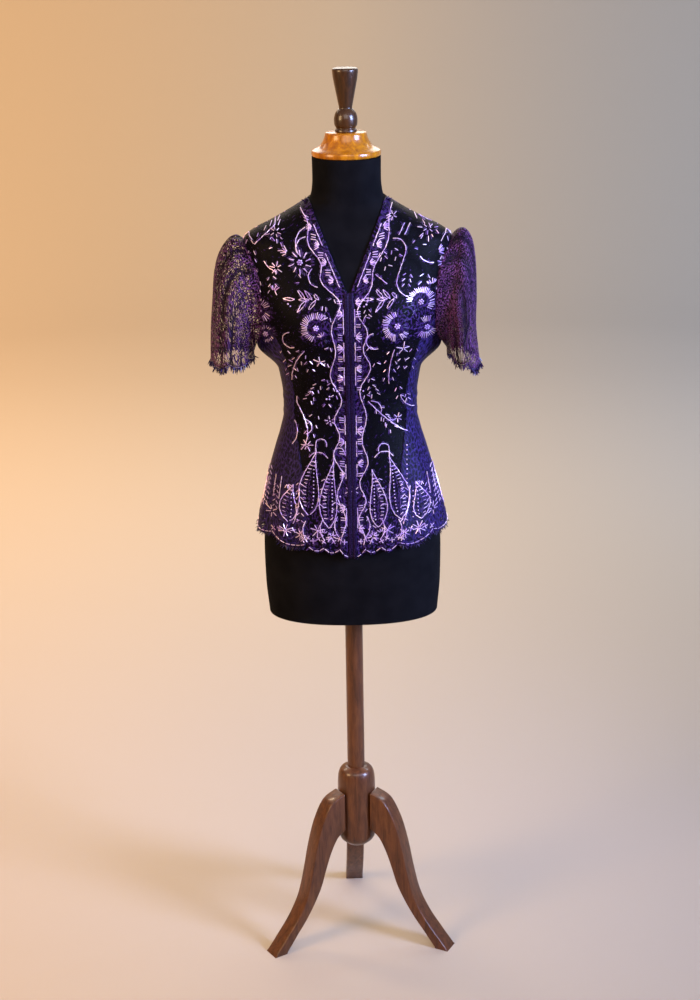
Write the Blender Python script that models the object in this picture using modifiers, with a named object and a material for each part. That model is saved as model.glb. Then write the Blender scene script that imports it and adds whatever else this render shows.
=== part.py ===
"""A short-sleeved lace kebaya on a limbless dress form with a turned three-legged stand.

Metres, +Z up. The front faces -Y and the wearer's left is +X. The origin is on the floor under the
middle of the whole, and every piece hangs from an empty on the stand's own axis. Angles round the
body run from the centre front (0) to the wearer's left (90).
"""
import math
from collections import namedtuple

import bmesh
import bpy
from mathutils import Vector

# The stand's axis, seen from the middle of the whole
STAND_X, STAND_Y = 0.0069, -0.039

# Cloth and seams
WALL = 0.0012
SEAM_GAP = 0.0003
SEAM_MARGIN = 0.00016
STRIP_LIFT = WALL + SEAM_GAP
STRIP_WIDTH = 0.0075

# The torso: one row for each section, with the room between form and cloth as ease
Section = namedtuple("Section", "z half_width front back ease")
SECTIONS = (
    Section(0.660, 0.1520, 0.0920, 0.1000, 0.0110),
    Section(0.720, 0.1570, 0.0960, 0.1060, 0.0115),
    Section(0.780, 0.1580, 0.0990, 0.1100, 0.0120),
    Section(0.830, 0.1558, 0.1010, 0.1120, 0.0110),
    Section(0.880, 0.1478, 0.1000, 0.1090, 0.0060),
    Section(0.925, 0.1405, 0.0960, 0.1030, 0.0033),
    Section(0.965, 0.1305, 0.0900, 0.0940, 0.0023),
    Section(1.000, 0.1205, 0.0850, 0.0860, 0.0018),
    Section(1.035, 0.1137, 0.0820, 0.0820, 0.0015),
    Section(1.065, 0.1143, 0.0820, 0.0820, 0.0015),
    Section(1.100, 0.1190, 0.0860, 0.0860, 0.0014),
    Section(1.140, 0.1275, 0.0930, 0.0910, 0.0014),
    Section(1.180, 0.1375, 0.0980, 0.0950, 0.0013),
    Section(1.220, 0.1560, 0.0970, 0.0980, 0.0013),
    Section(1.250, 0.1660, 0.0930, 0.0990, 0.0013),
    Section(1.290, 0.1730, 0.0860, 0.0980, 0.0015),
    Section(1.320, 0.1760, 0.0800, 0.0940, 0.0019),
    Section(1.338, 0.1735, 0.0750, 0.0880, 0.0022),
    Section(1.350, 0.1600, 0.0700, 0.0820, 0.0019),
    Section(1.365, 0.1310, 0.0660, 0.0740, 0.0015),
    Section(1.380, 0.1040, 0.0620, 0.0680, 0.0014),
    Section(1.395, 0.0790, 0.0595, 0.0630, 0.0014),
    Section(1.405, 0.0640, 0.0580, 0.0600, 0.0013),
    Section(1.420, 0.0595, 0.0575, 0.0585, 0.0010),
    Section(1.440, 0.0580, 0.0575, 0.0580, 0.0010),
    Section(1.475, 0.0582, 0.0580, 0.0582, 0.0010),
)
SQUARENESS = 2.3
FORM_BOTTOM = SECTIONS[0].z
FORM_TOP = SECTIONS[-1].z
FORM_COLUMNS = 32
FORM_ADDED_ROWS = {0.900, 0.945, 1.120, 1.160, 1.200, 1.3575}

# The bust, a low rise on each side of the centre front
BUST_Z = 1.190
BUST_RISE = 0.016
BUST_ANGLE = math.radians(36)
BUST_OUTER_SPREAD = math.radians(26)
BUST_DIP = 0.30
BUST_UPPER_HEIGHT = 0.075
BUST_LOWER_HEIGHT = 0.055

# The cloth stands away from the form under the arm, where no arm fills it
UNDERARM_EASE = 0.0260
UNDERARM_SPREAD = math.radians(17)
UNDERARM_LOW, UNDERARM_FULL = 1.112, 1.158
UNDERARM_FADE, UNDERARM_TOP = 1.166, 1.250

# The armhole, an oval round the side of the body
ARMHOLE_Z = 1.249
ARMHOLE_HALF_HEIGHT = 0.088
ARMHOLE_FRONT = math.radians(20)
ARMHOLE_BACK = math.radians(22)
ARMHOLE_STEP = math.radians(15)
ARMHOLE_TOP = ARMHOLE_Z + ARMHOLE_HALF_HEIGHT
PANEL_TURN = math.radians(30)
SEAM_TOP = ARMHOLE_Z - ARMHOLE_HALF_HEIGHT * math.sin(PANEL_TURN)

# The seams of the side panels: degrees from the centre front, and from it to the back seam
SeamRow = namedtuple("SeamRow", "z front_seam back_seam")
SEAMS = (
    SeamRow(0.780, 40.0, 140.0),
    SeamRow(0.870, 41.0, 138.0),
    SeamRow(0.930, 45.0, 134.0),
    SeamRow(0.990, 54.0, 127.0),
    SeamRow(1.035, 61.0, 122.0),
    SeamRow(1.100, 60.0, 121.0),
    SeamRow(1.160, 60.0, 119.0),
    SeamRow(1.185, 65.0, 115.0),
)

# The V neck, straight from its point to the side of the neck
NECK_POINT_Z = 1.262
NECK_POINT_HALF = 0.0035
NECK_TOP_Z = 1.405
NECK_TOP_HALF = 0.0625

# The hem: where each scallop starts, in degrees, its height there, and how far it drops
Scallop = namedtuple("Scallop", "start cusp drop")
SCALLOPS = (
    Scallop(0.0, 0.797, 0.008),
    Scallop(12.0, 0.809, 0.009),
    Scallop(26.0, 0.811, 0.010),
    Scallop(40.0, 0.816, 0.011),
    Scallop(65.0, 0.828, 0.009),
    Scallop(90.0, 0.832, 0.009),
    Scallop(115.0, 0.826, 0.011),
    Scallop(140.0, 0.816, 0.011),
    Scallop(160.0, 0.811, 0.011),
    Scallop(180.0, 0.808, 0.011),
)
SCALLOP_ROUNDNESS = 0.8
COLUMNS_IN_SCALLOP = 4
HEM_BASE = 0.800
BODY_ROWS = (0.830, 0.860, 0.895, 0.930, 0.965, 1.000, 1.035, 1.070, 1.105, 1.135, 1.160, 1.182)
SHOULDER_ROWS = (1.3405, 1.345, 1.350, 1.357, 1.365, 1.376, 1.387, 1.395, 1.400, NECK_TOP_Z)

# Columns crowd toward the rounded shoulder between these heights
CROWD_LOW, CROWD_HIGH = 1.210, 1.300
FRONT_CROWD = 0.6
BACK_CROWD = 0.11

# The sleeves: one row for each ring between armhole and cuff, from the top of the shoulder line
# (outer) to the underarm (inner), with half the depth from front to back
SleeveRing = namedtuple("SleeveRing", "outer_x outer_z inner_x inner_z half_depth")
SLEEVE_LEFT = (
    SleeveRing(0.1880, 1.3500, 0.1600, 1.1560, 0.0610),
    SleeveRing(0.2010, 1.3515, 0.1610, 1.1535, 0.0660),
    SleeveRing(0.2125, 1.3340, 0.1625, 1.1510, 0.0710),
    SleeveRing(0.2185, 1.2970, 0.1640, 1.1490, 0.0730),
    SleeveRing(0.2205, 1.2400, 0.1660, 1.1465, 0.0760),
    SleeveRing(0.2200, 1.1800, 0.1680, 1.1440, 0.0770),
    SleeveRing(0.2270, 1.1220, 0.1700, 1.1410, 0.0780),
)
SLEEVE_RIGHT = (
    SleeveRing(0.1900, 1.3460, 0.1600, 1.1560, 0.0600),
    SleeveRing(0.2040, 1.3400, 0.1610, 1.1530, 0.0650),
    SleeveRing(0.2205, 1.3160, 0.1620, 1.1500, 0.0700),
    SleeveRing(0.2300, 1.2820, 0.1630, 1.1470, 0.0740),
    SleeveRing(0.2345, 1.2360, 0.1640, 1.1440, 0.0770),
    SleeveRing(0.2390, 1.1850, 0.1650, 1.1410, 0.0780),
    SleeveRing(0.2415, 1.1340, 0.1660, 1.1370, 0.0790),
)
SLEEVE_COLUMNS = 44
SLEEVE_ROOT_RISE = 0.0024
SLEEVE_ROOT_GAP = 0.00036
CUFF_SCALLOPS = 6
CUFF_DROP = 0.007

# The largest folds of the sleeves: where round the sleeve (0 front, 90 top), how wide, how deep,
# and on which rings they are deepest and end
Fold = namedtuple("Fold", "angle spread depth ring reach")
FOLDS_LEFT = (
    Fold(-62, 10, 0.0030, 5.0, 3.0),
    Fold(-28, 11, 0.0045, 5.0, 3.5),
    Fold(8, 13, 0.0060, 3.5, 3.5),
    Fold(38, 10, 0.0070, 2.5, 2.8),
    Fold(66, 9, 0.0085, 2.6, 2.6),
    Fold(92, 8, 0.0040, 1.6, 1.8),
    Fold(118, 10, 0.0060, 2.8, 2.8),
    Fold(150, 12, 0.0060, 3.6, 3.4),
    Fold(186, 12, 0.0050, 4.6, 3.4),
    Fold(222, 11, 0.0040, 5.2, 3.2),
)
FOLDS_RIGHT = (
    Fold(-60, 10, 0.0035, 5.0, 3.2),
    Fold(-30, 9, 0.0050, 5.2, 3.6),
    Fold(-2, 10, 0.0060, 4.4, 3.8),
    Fold(27, 9, 0.0065, 3.6, 3.6),
    Fold(54, 9, 0.0060, 3.0, 3.2),
    Fold(82, 8, 0.0045, 1.8, 2.0),
    Fold(108, 9, 0.0050, 2.4, 2.6),
    Fold(140, 12, 0.0060, 3.4, 3.4),
    Fold(176, 12, 0.0055, 4.4, 3.4),
    Fold(214, 11, 0.0045, 5.2, 3.2),
)

# The eyelash edge of the cuffs
FRINGE_STRANDS = SLEEVE_COLUMNS
FRINGE_GAP = 0.0004
FRINGE_STRIP = 0.0020
FRINGE_ROOT = 0.0012
FRINGE_LENGTH = 0.0120
FRINGE_SWAY, FRINGE_SWAY_STEP = 0.35, 2.4
FRINGE_UNEVEN, FRINGE_UNEVEN_STEP = 0.25, 1.7

# The turned wood above the neck: radius and height down the outer side
Turning = namedtuple("Turning", "radius z")
NECK_CAP = (
    Turning(0.0330, 1.5150), Turning(0.0345, 1.5135), Turning(0.0365, 1.5060),
    Turning(0.0410, 1.4970), Turning(0.0480, 1.4900), Turning(0.0550, 1.4865),
    Turning(0.0580, 1.4845), Turning(0.0588, 1.4805), Turning(0.0580, 1.4765),
    Turning(0.0560, 1.4753),
)
FINIAL = (
    Turning(0.0190, 1.6200), Turning(0.0210, 1.6185), Turning(0.0217, 1.6155),
    Turning(0.0206, 1.6050), Turning(0.0165, 1.5830), Turning(0.0128, 1.5640),
    Turning(0.0110, 1.5545), Turning(0.0135, 1.5515), Turning(0.0178, 1.5450),
    Turning(0.0198, 1.5360), Turning(0.0192, 1.5270), Turning(0.0162, 1.5215),
    Turning(0.0182, 1.5190), Turning(0.0186, 1.5165), Turning(0.0180, 1.5153),
)
HUB = (
    Turning(0.0200, 0.3400), Turning(0.0300, 0.3330), Turning(0.0340, 0.3200),
    Turning(0.0350, 0.3000), Turning(0.0350, 0.2050), Turning(0.0320, 0.1920),
    Turning(0.0200, 0.1800),
)
TURNED_STEPS = 24
POLE_RADIUS = 0.0160

# The legs: radius and height of the upper and the lower edge of their outline
LegRow = namedtuple("LegRow", "upper_radius upper_z lower_radius lower_z")
LEG = (
    LegRow(0.0353, 0.2950, 0.0353, 0.2200),
    LegRow(0.0620, 0.2840, 0.0520, 0.2080),
    LegRow(0.0860, 0.2450, 0.0680, 0.1800),
    LegRow(0.1010, 0.1960, 0.0800, 0.1480),
    LegRow(0.1110, 0.1500, 0.0900, 0.1180),
    LegRow(0.1240, 0.1020, 0.1040, 0.0900),
    LegRow(0.1440, 0.0640, 0.1240, 0.0590),
    LegRow(0.1680, 0.0330, 0.1470, 0.0300),
    LegRow(0.1960, 0.0000, 0.1700, 0.0000),
)
LEG_THICKNESS = 0.033
LEG_TURN = math.radians(2.3)
LEG_STEPS = 2

LACE = ("lace", (0.060, 0.022, 0.130, 1.0), 0.70, 0.0)
STRIP = ("edge_lace", (0.110, 0.050, 0.240, 1.0), 0.60, 0.0)
JERSEY = ("jersey", (0.010, 0.010, 0.013, 1.0), 0.90, 0.0)
WOOD = ("lacquered_wood", (0.230, 0.080, 0.025, 1.0), 0.30, 0.0)


class Curve:
    """A smooth curve through keys and values that never overshoots them."""

    def __init__(self, keys, values):
        self.keys, self.values = keys, values
        steps = range(len(keys) - 1)
        secants = [(values[i + 1] - values[i]) / (keys[i + 1] - keys[i]) for i in steps]
        inner = [2 * a * b / (a + b) if a * b > 0 else 0.0 for a, b in zip(secants, secants[1:])]
        self.slopes = [secants[0]] + inner + [secants[-1]]

    def __call__(self, at):
        at = min(max(at, self.keys[0]), self.keys[-1])
        i = next(k for k in range(1, len(self.keys)) if at <= self.keys[k]) - 1
        span = self.keys[i + 1] - self.keys[i]
        t = (at - self.keys[i]) / span
        rise = t * t * (3 - 2 * t)
        ends = self.values[i] * (1 - rise) + self.values[i + 1] * rise
        leave = self.slopes[i] * t * (1 - t) ** 2
        arrive = self.slopes[i + 1] * t * t * (t - 1)
        return ends + span * (leave + arrive)


def column(rows, name, key="z"):
    """One named column of a table as a smooth curve over another."""
    return Curve([getattr(row, key) for row in rows], [getattr(row, name) for row in rows])


HALF_WIDTH = column(SECTIONS, "half_width")
FRONT_DEPTH = column(SECTIONS, "front")
BACK_DEPTH = column(SECTIONS, "back")
EASE = column(SECTIONS, "ease")


def smoothstep(low, high, value):
    """0 at low, 1 at high, with soft ends."""
    t = min(max((value - low) / (high - low), 0.0), 1.0)
    return t * t * (3 - 2 * t)


def bell(value):
    """1 at the middle, fading to nothing on both sides."""
    return math.exp(-value * value)


def mix(start, end, share):
    """The value, or the point, that lies a share of the way from start to end."""
    return start + (end - start) * share


def half_turn(phi):
    """The angle from the centre front, the same on the left and on the right."""
    return abs(math.remainder(phi, 2 * math.pi))


def bust(phi, z):
    """How far the bust rises above the plain section."""
    away = half_turn(phi) - BUST_ANGLE
    across = bell(away / BUST_OUTER_SPREAD)
    if away < 0:
        across = 1 - BUST_DIP * (1 - math.cos(math.pi * away / BUST_ANGLE)) / 2
    up = (z - BUST_Z) / (BUST_UPPER_HEIGHT if z > BUST_Z else BUST_LOWER_HEIGHT)
    return BUST_RISE * across * bell(up)


def form_point(phi, z):
    """A point of the form's surface."""
    side, fore = math.sin(phi), math.cos(phi)
    depth = FRONT_DEPTH(z) if fore > 0 else BACK_DEPTH(z)
    squared = abs(side / HALF_WIDTH(z)) ** SQUARENESS + abs(fore / depth) ** SQUARENESS
    radius = squared ** (-1 / SQUARENESS) + bust(phi, z)
    return Vector((radius * side, -radius * fore, z))


def form_normal(phi, z):
    """The direction that points out of the form."""
    turn, lift = 0.004, 0.0008
    low, high = max(z - lift, FORM_BOTTOM), min(z + lift, FORM_TOP)
    across = form_point(phi + turn, z) - form_point(phi - turn, z)
    up = form_point(phi, high) - form_point(phi, low)
    return across.cross(up).normalized()


def cloth_ease(phi, z):
    """The room between the form and the inner side of the cloth."""
    aside = (half_turn(phi) - math.pi / 2) / UNDERARM_SPREAD
    rise = smoothstep(UNDERARM_LOW, UNDERARM_FULL, z)
    fade = 1 - smoothstep(UNDERARM_FADE, UNDERARM_TOP, z)
    return EASE(z) + UNDERARM_EASE * bell(aside) * rise * fade


def cloth_point(phi, z, out):
    """A point of the cloth, moved out from its inner side."""
    return form_point(phi, z) + form_normal(phi, z) * (cloth_ease(phi, z) + out)


def hem_height(phi):
    """The lower edge of the cloth, a row of scallops."""
    degrees = math.degrees(half_turn(phi))
    for scallop, following in zip(SCALLOPS, SCALLOPS[1:]):
        if degrees <= following.start:
            share = (degrees - scallop.start) / (following.start - scallop.start)
            line = mix(scallop.cusp, following.cusp, share)
            return line - scallop.drop * math.sin(math.pi * share) ** SCALLOP_ROUNDNESS
    return SCALLOPS[-1].cusp


def armhole(turn):
    """Angle and height on the armhole: turn is 0 at its front, a quarter turn at the shoulder."""
    spread = ARMHOLE_FRONT if math.cos(turn) > 0 else ARMHOLE_BACK
    phi = math.pi / 2 - spread * math.cos(turn)
    return phi, ARMHOLE_Z + ARMHOLE_HALF_HEIGHT * math.sin(turn)


def seam_curve(name, turn):
    """A side seam, up to where it meets the armhole."""
    rows = [(row.z, math.radians(getattr(row, name))) for row in SEAMS]
    phi, z = armhole(turn)
    rows.append((z, phi))
    return Curve([row[0] for row in rows], [row[1] for row in rows])


FRONT_SEAM = seam_curve("front_seam", -PANEL_TURN)
BACK_SEAM = seam_curve("back_seam", math.pi + PANEL_TURN)


def neckline(z):
    """The angle of the V neck at a height above its point."""
    share = (z - NECK_POINT_Z) / (NECK_TOP_Z - NECK_POINT_Z)
    half = mix(NECK_POINT_HALF, NECK_TOP_HALF, share)
    low, high = 0.0, math.pi / 2
    for _ in range(30):
        middle = (low + high) / 2
        low, high = (middle, high) if cloth_point(middle, z, 0).x < half else (low, middle)
    return low


def outer_edge(z, seam, toward_back):
    """Where a front or back panel ends: at the side seam, the armhole or the shoulder seam."""
    if z <= SEAM_TOP:
        return seam(z)
    if z >= ARMHOLE_TOP:
        return math.pi / 2
    share = (z - ARMHOLE_Z) / ARMHOLE_HALF_HEIGHT
    reach = math.sqrt(1 - share * share)
    return math.pi / 2 + (ARMHOLE_BACK if toward_back else -ARMHOLE_FRONT) * reach


def armhole_rows():
    """The heights at which the panels have a point on the armhole."""
    count = round((math.pi / 2 + PANEL_TURN) / ARMHOLE_STEP)
    return [armhole(-PANEL_TURN + ARMHOLE_STEP * k)[1] for k in range(1, count + 1)]


def hem_shares(start, end):
    """Shares of a panel's width, with a column at each scallop's cusp."""
    edges = [row.start for row in SCALLOPS if start <= row.start <= end]
    shares = []
    for low, high in zip(edges, edges[1:]):
        shares += [mix(low, high, k / COLUMNS_IN_SCALLOP) for k in range(COLUMNS_IN_SCALLOP)]
    return [(value - start) / (end - start) for value in shares + [end]]


def sheet_solid(name, rows, material, closed=False):
    """A wall between outer and inner points, given as rows of (outer, inner) pairs."""
    bm = bmesh.new()
    grid = [[(bm.verts.new(outer), bm.verts.new(inner)) for outer, inner in row] for row in rows]
    width = len(grid[0])

    def quad(a, b, c, d):
        bm.faces.new((a, b, c))
        bm.faces.new((a, c, d))

    for low, high in zip(grid, grid[1:]):
        for i in range(width if closed else width - 1):
            k = (i + 1) % width
            quad(low[i][0], low[k][0], high[k][0], high[i][0])
            quad(low[i][1], high[i][1], high[k][1], low[k][1])
    for i in range(width if closed else width - 1):
        k = (i + 1) % width
        quad(grid[0][i][1], grid[0][k][1], grid[0][k][0], grid[0][i][0])
        quad(grid[-1][i][0], grid[-1][k][0], grid[-1][k][1], grid[-1][i][1])
    if not closed:
        for low, high in zip(grid, grid[1:]):
            quad(low[0][0], high[0][0], high[0][1], low[0][1])
            quad(low[-1][0], low[-1][1], high[-1][1], high[-1][0])
    bmesh.ops.recalc_face_normals(bm, faces=bm.faces)
    return new_object(name, bm, material)


def place(thing):
    """Put an object in the collection, on the stand's axis."""
    for collection in list(thing.users_collection):
        collection.objects.unlink(thing)
    PARTS.objects.link(thing)
    thing.parent = AXIS
    return thing


def new_object(name, bm, material):
    """A finished mesh as an object of the collection, with its material."""
    mesh = bpy.data.meshes.new(name)
    bm.to_mesh(mesh)
    bm.free()
    mesh.shade_smooth()
    mesh.set_sharp_from_angle(angle=math.radians(40))
    mesh.materials.append(surface(*material))
    return place(bpy.data.objects.new(name, mesh))


def surface(name, colour, roughness, metallic):
    """A plain finish, made once."""
    if name in bpy.data.materials:
        return bpy.data.materials[name]
    made = bpy.data.materials.new(name)
    made.use_nodes = True
    shader = made.node_tree.nodes["Principled BSDF"]
    shader.inputs["Base Color"].default_value = colour
    shader.inputs["Roughness"].default_value = roughness
    shader.inputs["Metallic"].default_value = metallic
    return made


def panel_heights(phi, heights, top):
    """Row heights below the armhole, stretched so that the first follows the hem."""
    hem = hem_height(phi)
    shares = [0.0] + [(z - HEM_BASE) / (SEAM_TOP - HEM_BASE) for z in heights] + [1.0]
    return [mix(hem, top, share) for share in shares]


def gap_angle(phi, z):
    """What a panel's edge keeps from its seam line, as an angle."""
    return SEAM_MARGIN / math.hypot(*form_point(phi, z).xy)


def wall_pair(phi, z, lift=0.0):
    """The outer and the inner point of the wall."""
    return cloth_point(phi, z, WALL + lift), cloth_point(phi, z, lift)


def mirrored(rows):
    """Rows of points taken to the wearer's other side."""
    flip = Vector((-1, 1, 1))
    return [[(outer * flip, inner * flip) for outer, inner in row] for row in rows]


def front_rows():
    """The wearer's left front, from hem to shoulder."""
    shares = hem_shares(0.0, 40.0)
    upper = sorted(armhole_rows() + [NECK_POINT_Z] + list(SHOULDER_ROWS))
    columns = []
    for share in shares:
        hem_phi = mix(0.0, FRONT_SEAM(HEM_BASE), share)
        column_points = []
        for z in panel_heights(hem_phi, BODY_ROWS, SEAM_TOP) + upper:
            inner = neckline(z) if z >= NECK_POINT_Z else 0.0
            outer = outer_edge(z, FRONT_SEAM, toward_back=False)
            gap = gap_angle(outer, z)
            crowd = smoothstep(CROWD_LOW, CROWD_HIGH, z)
            at = mix(share, 1 - (1 - share) ** 2, FRONT_CROWD * crowd)
            column_points.append(wall_pair(mix(inner + gap, outer - gap, at), z))
        columns.append(column_points)
    return [list(row) for row in zip(*columns)]


def edge_strip_rows():
    """The lace strip along the wearer's left centre-front edge, lying on the front."""
    rows = []
    heights = panel_heights(0.0, BODY_ROWS, SEAM_TOP)
    heights += [z for z in armhole_rows() if z < NECK_POINT_Z] + [NECK_POINT_Z - 0.002]
    for z in heights:
        radius = cloth_point(0, z, 0).y
        edge = gap_angle(0, z)
        far = STRIP_WIDTH / abs(radius)
        rows.append([wall_pair(edge, z, STRIP_LIFT), wall_pair(far, z, STRIP_LIFT)])
    return rows


def side_rows():
    """The wearer's left side panel, from hem to the lower half of the armhole."""
    shares = hem_shares(40.0, 140.0)
    columns = []
    for share in shares:
        turn = -mix(PANEL_TURN, math.pi - PANEL_TURN, share)
        top_phi, top_z = armhole(turn)
        hem_phi = mix(FRONT_SEAM(HEM_BASE), BACK_SEAM(HEM_BASE), share)
        drift = top_phi - mix(FRONT_SEAM(top_z), BACK_SEAM(top_z), share)
        column_points = []
        for z in panel_heights(hem_phi, BODY_ROWS, top_z):
            up = (z - HEM_BASE) / (top_z - HEM_BASE)
            phi = mix(FRONT_SEAM(z), BACK_SEAM(z), share) + drift * max(up, 0) ** 8
            gap = gap_angle(phi, z)
            column_points.append(wall_pair(phi + gap * (1 - 2 * share), z))
        columns.append(column_points)
    return [list(row) for row in zip(*columns)]


def back_rows():
    """The back, from its left side seam round to its right one, from hem to neck."""
    half = [share / 2 for share in hem_shares(140.0, 180.0)]
    shares = half + [1 - share for share in reversed(half[:-1])]
    upper = sorted(armhole_rows() + list(SHOULDER_ROWS))
    columns = []
    for share in shares:
        edge = BACK_SEAM(HEM_BASE)
        hem_phi = mix(edge, 2 * math.pi - edge, share)
        column_points = []
        for z in panel_heights(hem_phi, BODY_ROWS, SEAM_TOP) + upper:
            edge = outer_edge(z, BACK_SEAM, toward_back=True)
            edge += gap_angle(edge, z)
            crowd = smoothstep(CROWD_LOW, CROWD_HIGH, z)
            at = share - BACK_CROWD * crowd * math.sin(2 * math.pi * share)
            column_points.append(wall_pair(mix(edge, 2 * math.pi - edge, at), z))
        columns.append(column_points)
    return [list(row) for row in zip(*columns)]


def armhole_ring(turn, out, inset):
    """A point of the sleeve's root, on the straight run between two points of the armhole."""
    step = math.floor(turn / ARMHOLE_STEP + 1e-9)
    share = turn / ARMHOLE_STEP - step
    ends = [cloth_point(*armhole(ARMHOLE_STEP * k), out) for k in (step, step + 1)]
    point = mix(ends[0], ends[1], share)
    phi, z = math.pi / 2, ARMHOLE_Z
    middle = cloth_point(phi, z, out)
    inward = Vector((0, middle.y - point.y, middle.z - point.z)).normalized()
    return point + inward * inset


def fold_depth(folds, turn, ring):
    """How far the folds draw the sleeve in at an angle and a ring."""
    depth = 0.0
    for fold in folds:
        away = math.remainder(turn - math.radians(fold.angle), 2 * math.pi)
        across = bell(away / math.radians(fold.spread))
        along = bell((ring - fold.ring) / fold.reach)
        depth += fold.depth * across * along
    return depth


def sleeve_rings(table, folds):
    """The outer points of a sleeve, ring by ring from armhole to cuff, on the wearer's left."""
    turns = [2 * math.pi * k / SLEEVE_COLUMNS for k in range(SLEEVE_COLUMNS)]
    rings = [[armhole_ring(turn, out, SLEEVE_ROOT_GAP) for turn in turns]
             for out in (0.0, WALL + SLEEVE_ROOT_RISE)]
    for number, row in enumerate(table, start=1):
        outer, inner = Vector((row.outer_x, 0, row.outer_z)), Vector((row.inner_x, 0, row.inner_z))
        middle, arm = (outer + inner) / 2, (outer - inner) / 2
        last = number == len(table)
        ring = []
        for turn in turns:
            spoke = arm * math.sin(turn) + Vector((0, -row.half_depth, 0)) * math.cos(turn)
            point = middle + spoke - spoke.normalized() * fold_depth(folds, turn, number)
            if last:
                drop = CUFF_DROP * abs(math.sin(turn * CUFF_SCALLOPS / 2))
                point += Vector((0.0, 0.0, -drop))
            ring.append(point)
        rings.append(ring)
    return rings


def ring_normals(rings):
    """The outward direction at each point of a set of rings."""
    count = len(rings[0])
    normals = []
    for i, ring in enumerate(rings):
        below, above = rings[max(i - 1, 0)], rings[min(i + 1, len(rings) - 1)]
        row = []
        for k in range(count):
            around = ring[(k + 1) % count] - ring[k - 1]
            along = above[k] - below[k]
            row.append(around.cross(along).normalized())
        normals.append(row)
    middle = sum(rings[3], Vector()) / count
    flip = -1 if normals[3][0].dot(rings[3][0] - middle) < 0 else 1
    return [[normal * flip for normal in row] for row in normals]


def sleeve_rows(table, folds):
    """A sleeve's wall as outer and inner points."""
    rings = sleeve_rings(table, folds)
    normals = ring_normals(rings)
    return [[(point, point - normal * WALL) for point, normal in zip(ring, row)]
            for ring, row in zip(rings, normals)]


def along_edge(pairs, share):
    """The outer and inner point of a closed edge at a share of the way round."""
    step = (share % 1.0) * len(pairs)
    index = int(step)
    start, end = pairs[index], pairs[(index + 1) % len(pairs)]
    return tuple(mix(a, b, step - index) for a, b in zip(start, end))


def cuff_fringe(name, rows, side):
    """The eyelash edge below a cuff: a narrow strip, and threads that grow out of it."""
    edge, before = rows[-1], rows[-2]
    length = sum((a[0] - b[0]).length for a, b in zip(edge, edge[1:] + edge[:1]))
    root = FRINGE_ROOT / length
    shares = []
    for k in range(FRINGE_STRANDS):
        shares += [k / FRINGE_STRANDS, k / FRINGE_STRANDS + root]
    bm = bmesh.new()
    rings = []
    downs = []
    for share in shares:
        outer, inner = along_edge(edge, share)
        down = (outer - along_edge(before, share)[0]).normalized()
        downs.append(down)
        points = [inner + down * FRINGE_GAP, outer + down * FRINGE_GAP,
                  outer + down * FRINGE_STRIP, inner + down * FRINGE_STRIP]
        rings.append([bm.verts.new(point) for point in points])
    for i, ring in enumerate(rings):
        following = rings[(i + 1) % len(rings)]
        for k in range(4):
            corners = (ring[k], ring[(k + 1) % 4], following[(k + 1) % 4], following[k])
            is_root = k == 2 and i % 2 == 0
            if not is_root:
                bm.faces.new(corners)
                continue
            middle = sum((corner.co for corner in corners), Vector()) / 4
            sway = FRINGE_SWAY * math.sin(FRINGE_SWAY_STEP * i) * side
            lean = (corners[2].co - corners[1].co).normalized() * sway
            uneven = FRINGE_UNEVEN * (1 - math.cos(FRINGE_UNEVEN_STEP * i))
            reach = FRINGE_LENGTH * (1 - uneven)
            tip = bm.verts.new(middle + (downs[i] + lean).normalized() * reach)
            for a, b in zip(corners, corners[1:] + corners[:1]):
                bm.faces.new((a, b, tip))
    bmesh.ops.triangulate(bm, faces=[face for face in bm.faces if len(face.verts) > 3])
    bmesh.ops.recalc_face_normals(bm, faces=bm.faces)
    return new_object(name, bm, LACE)


def form_torso():
    """The padded torso and neck of the form, in its jersey cover, closed at both ends."""
    bm = bmesh.new()
    heights = sorted({row.z for row in SECTIONS} | FORM_ADDED_ROWS)
    rings = []
    for z in heights:
        turns = [2 * math.pi * k / FORM_COLUMNS for k in range(FORM_COLUMNS)]
        rings.append([bm.verts.new(form_point(turn, z)) for turn in turns])
    for low, high in zip(rings, rings[1:]):
        for k in range(FORM_COLUMNS):
            j = (k + 1) % FORM_COLUMNS
            bm.faces.new((low[k], low[j], high[j], high[k]))
    bm.faces.new(rings[0])
    bm.faces.new(rings[-1])
    bmesh.ops.triangulate(bm, faces=bm.faces, quad_method="FIXED")
    bmesh.ops.recalc_face_normals(bm, faces=bm.faces)
    return new_object("form_torso", bm, JERSEY)


def turned(name, profile, material):
    """A piece turned on a lathe: its profile with closed ends, spun round the middle."""
    mesh = bpy.data.meshes.new(name)
    points = [(0, 0, profile[0].z)] + [(row.radius, 0, row.z) for row in profile]
    points.append((0, 0, profile[-1].z))
    edges = [(k, k + 1) for k in range(len(points) - 1)]
    mesh.from_pydata(points, edges, [])
    mesh.materials.append(surface(*material))
    thing = place(bpy.data.objects.new(name, mesh))
    spin = thing.modifiers.new("lathe", "SCREW")
    spin.steps = TURNED_STEPS
    spin.render_steps = TURNED_STEPS
    spin.use_merge_vertices = True
    spin.merge_threshold = 0.00001
    spin.use_smooth_shade = True
    return thing


def pole():
    """The turned rod between hub and form."""
    low, high = HUB[0].z + SEAM_GAP, FORM_BOTTOM - SEAM_GAP
    bpy.ops.mesh.primitive_cylinder_add(
        vertices=24, radius=POLE_RADIUS, depth=high - low, location=(0, 0, (low + high) / 2))
    thing = bpy.context.active_object
    thing.name = "pole"
    thing.data.name = "pole"
    thing.data.shade_smooth()
    thing.data.set_sharp_from_angle(angle=math.radians(40))
    thing.data.materials.append(surface(*WOOD))
    return place(thing)


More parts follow.
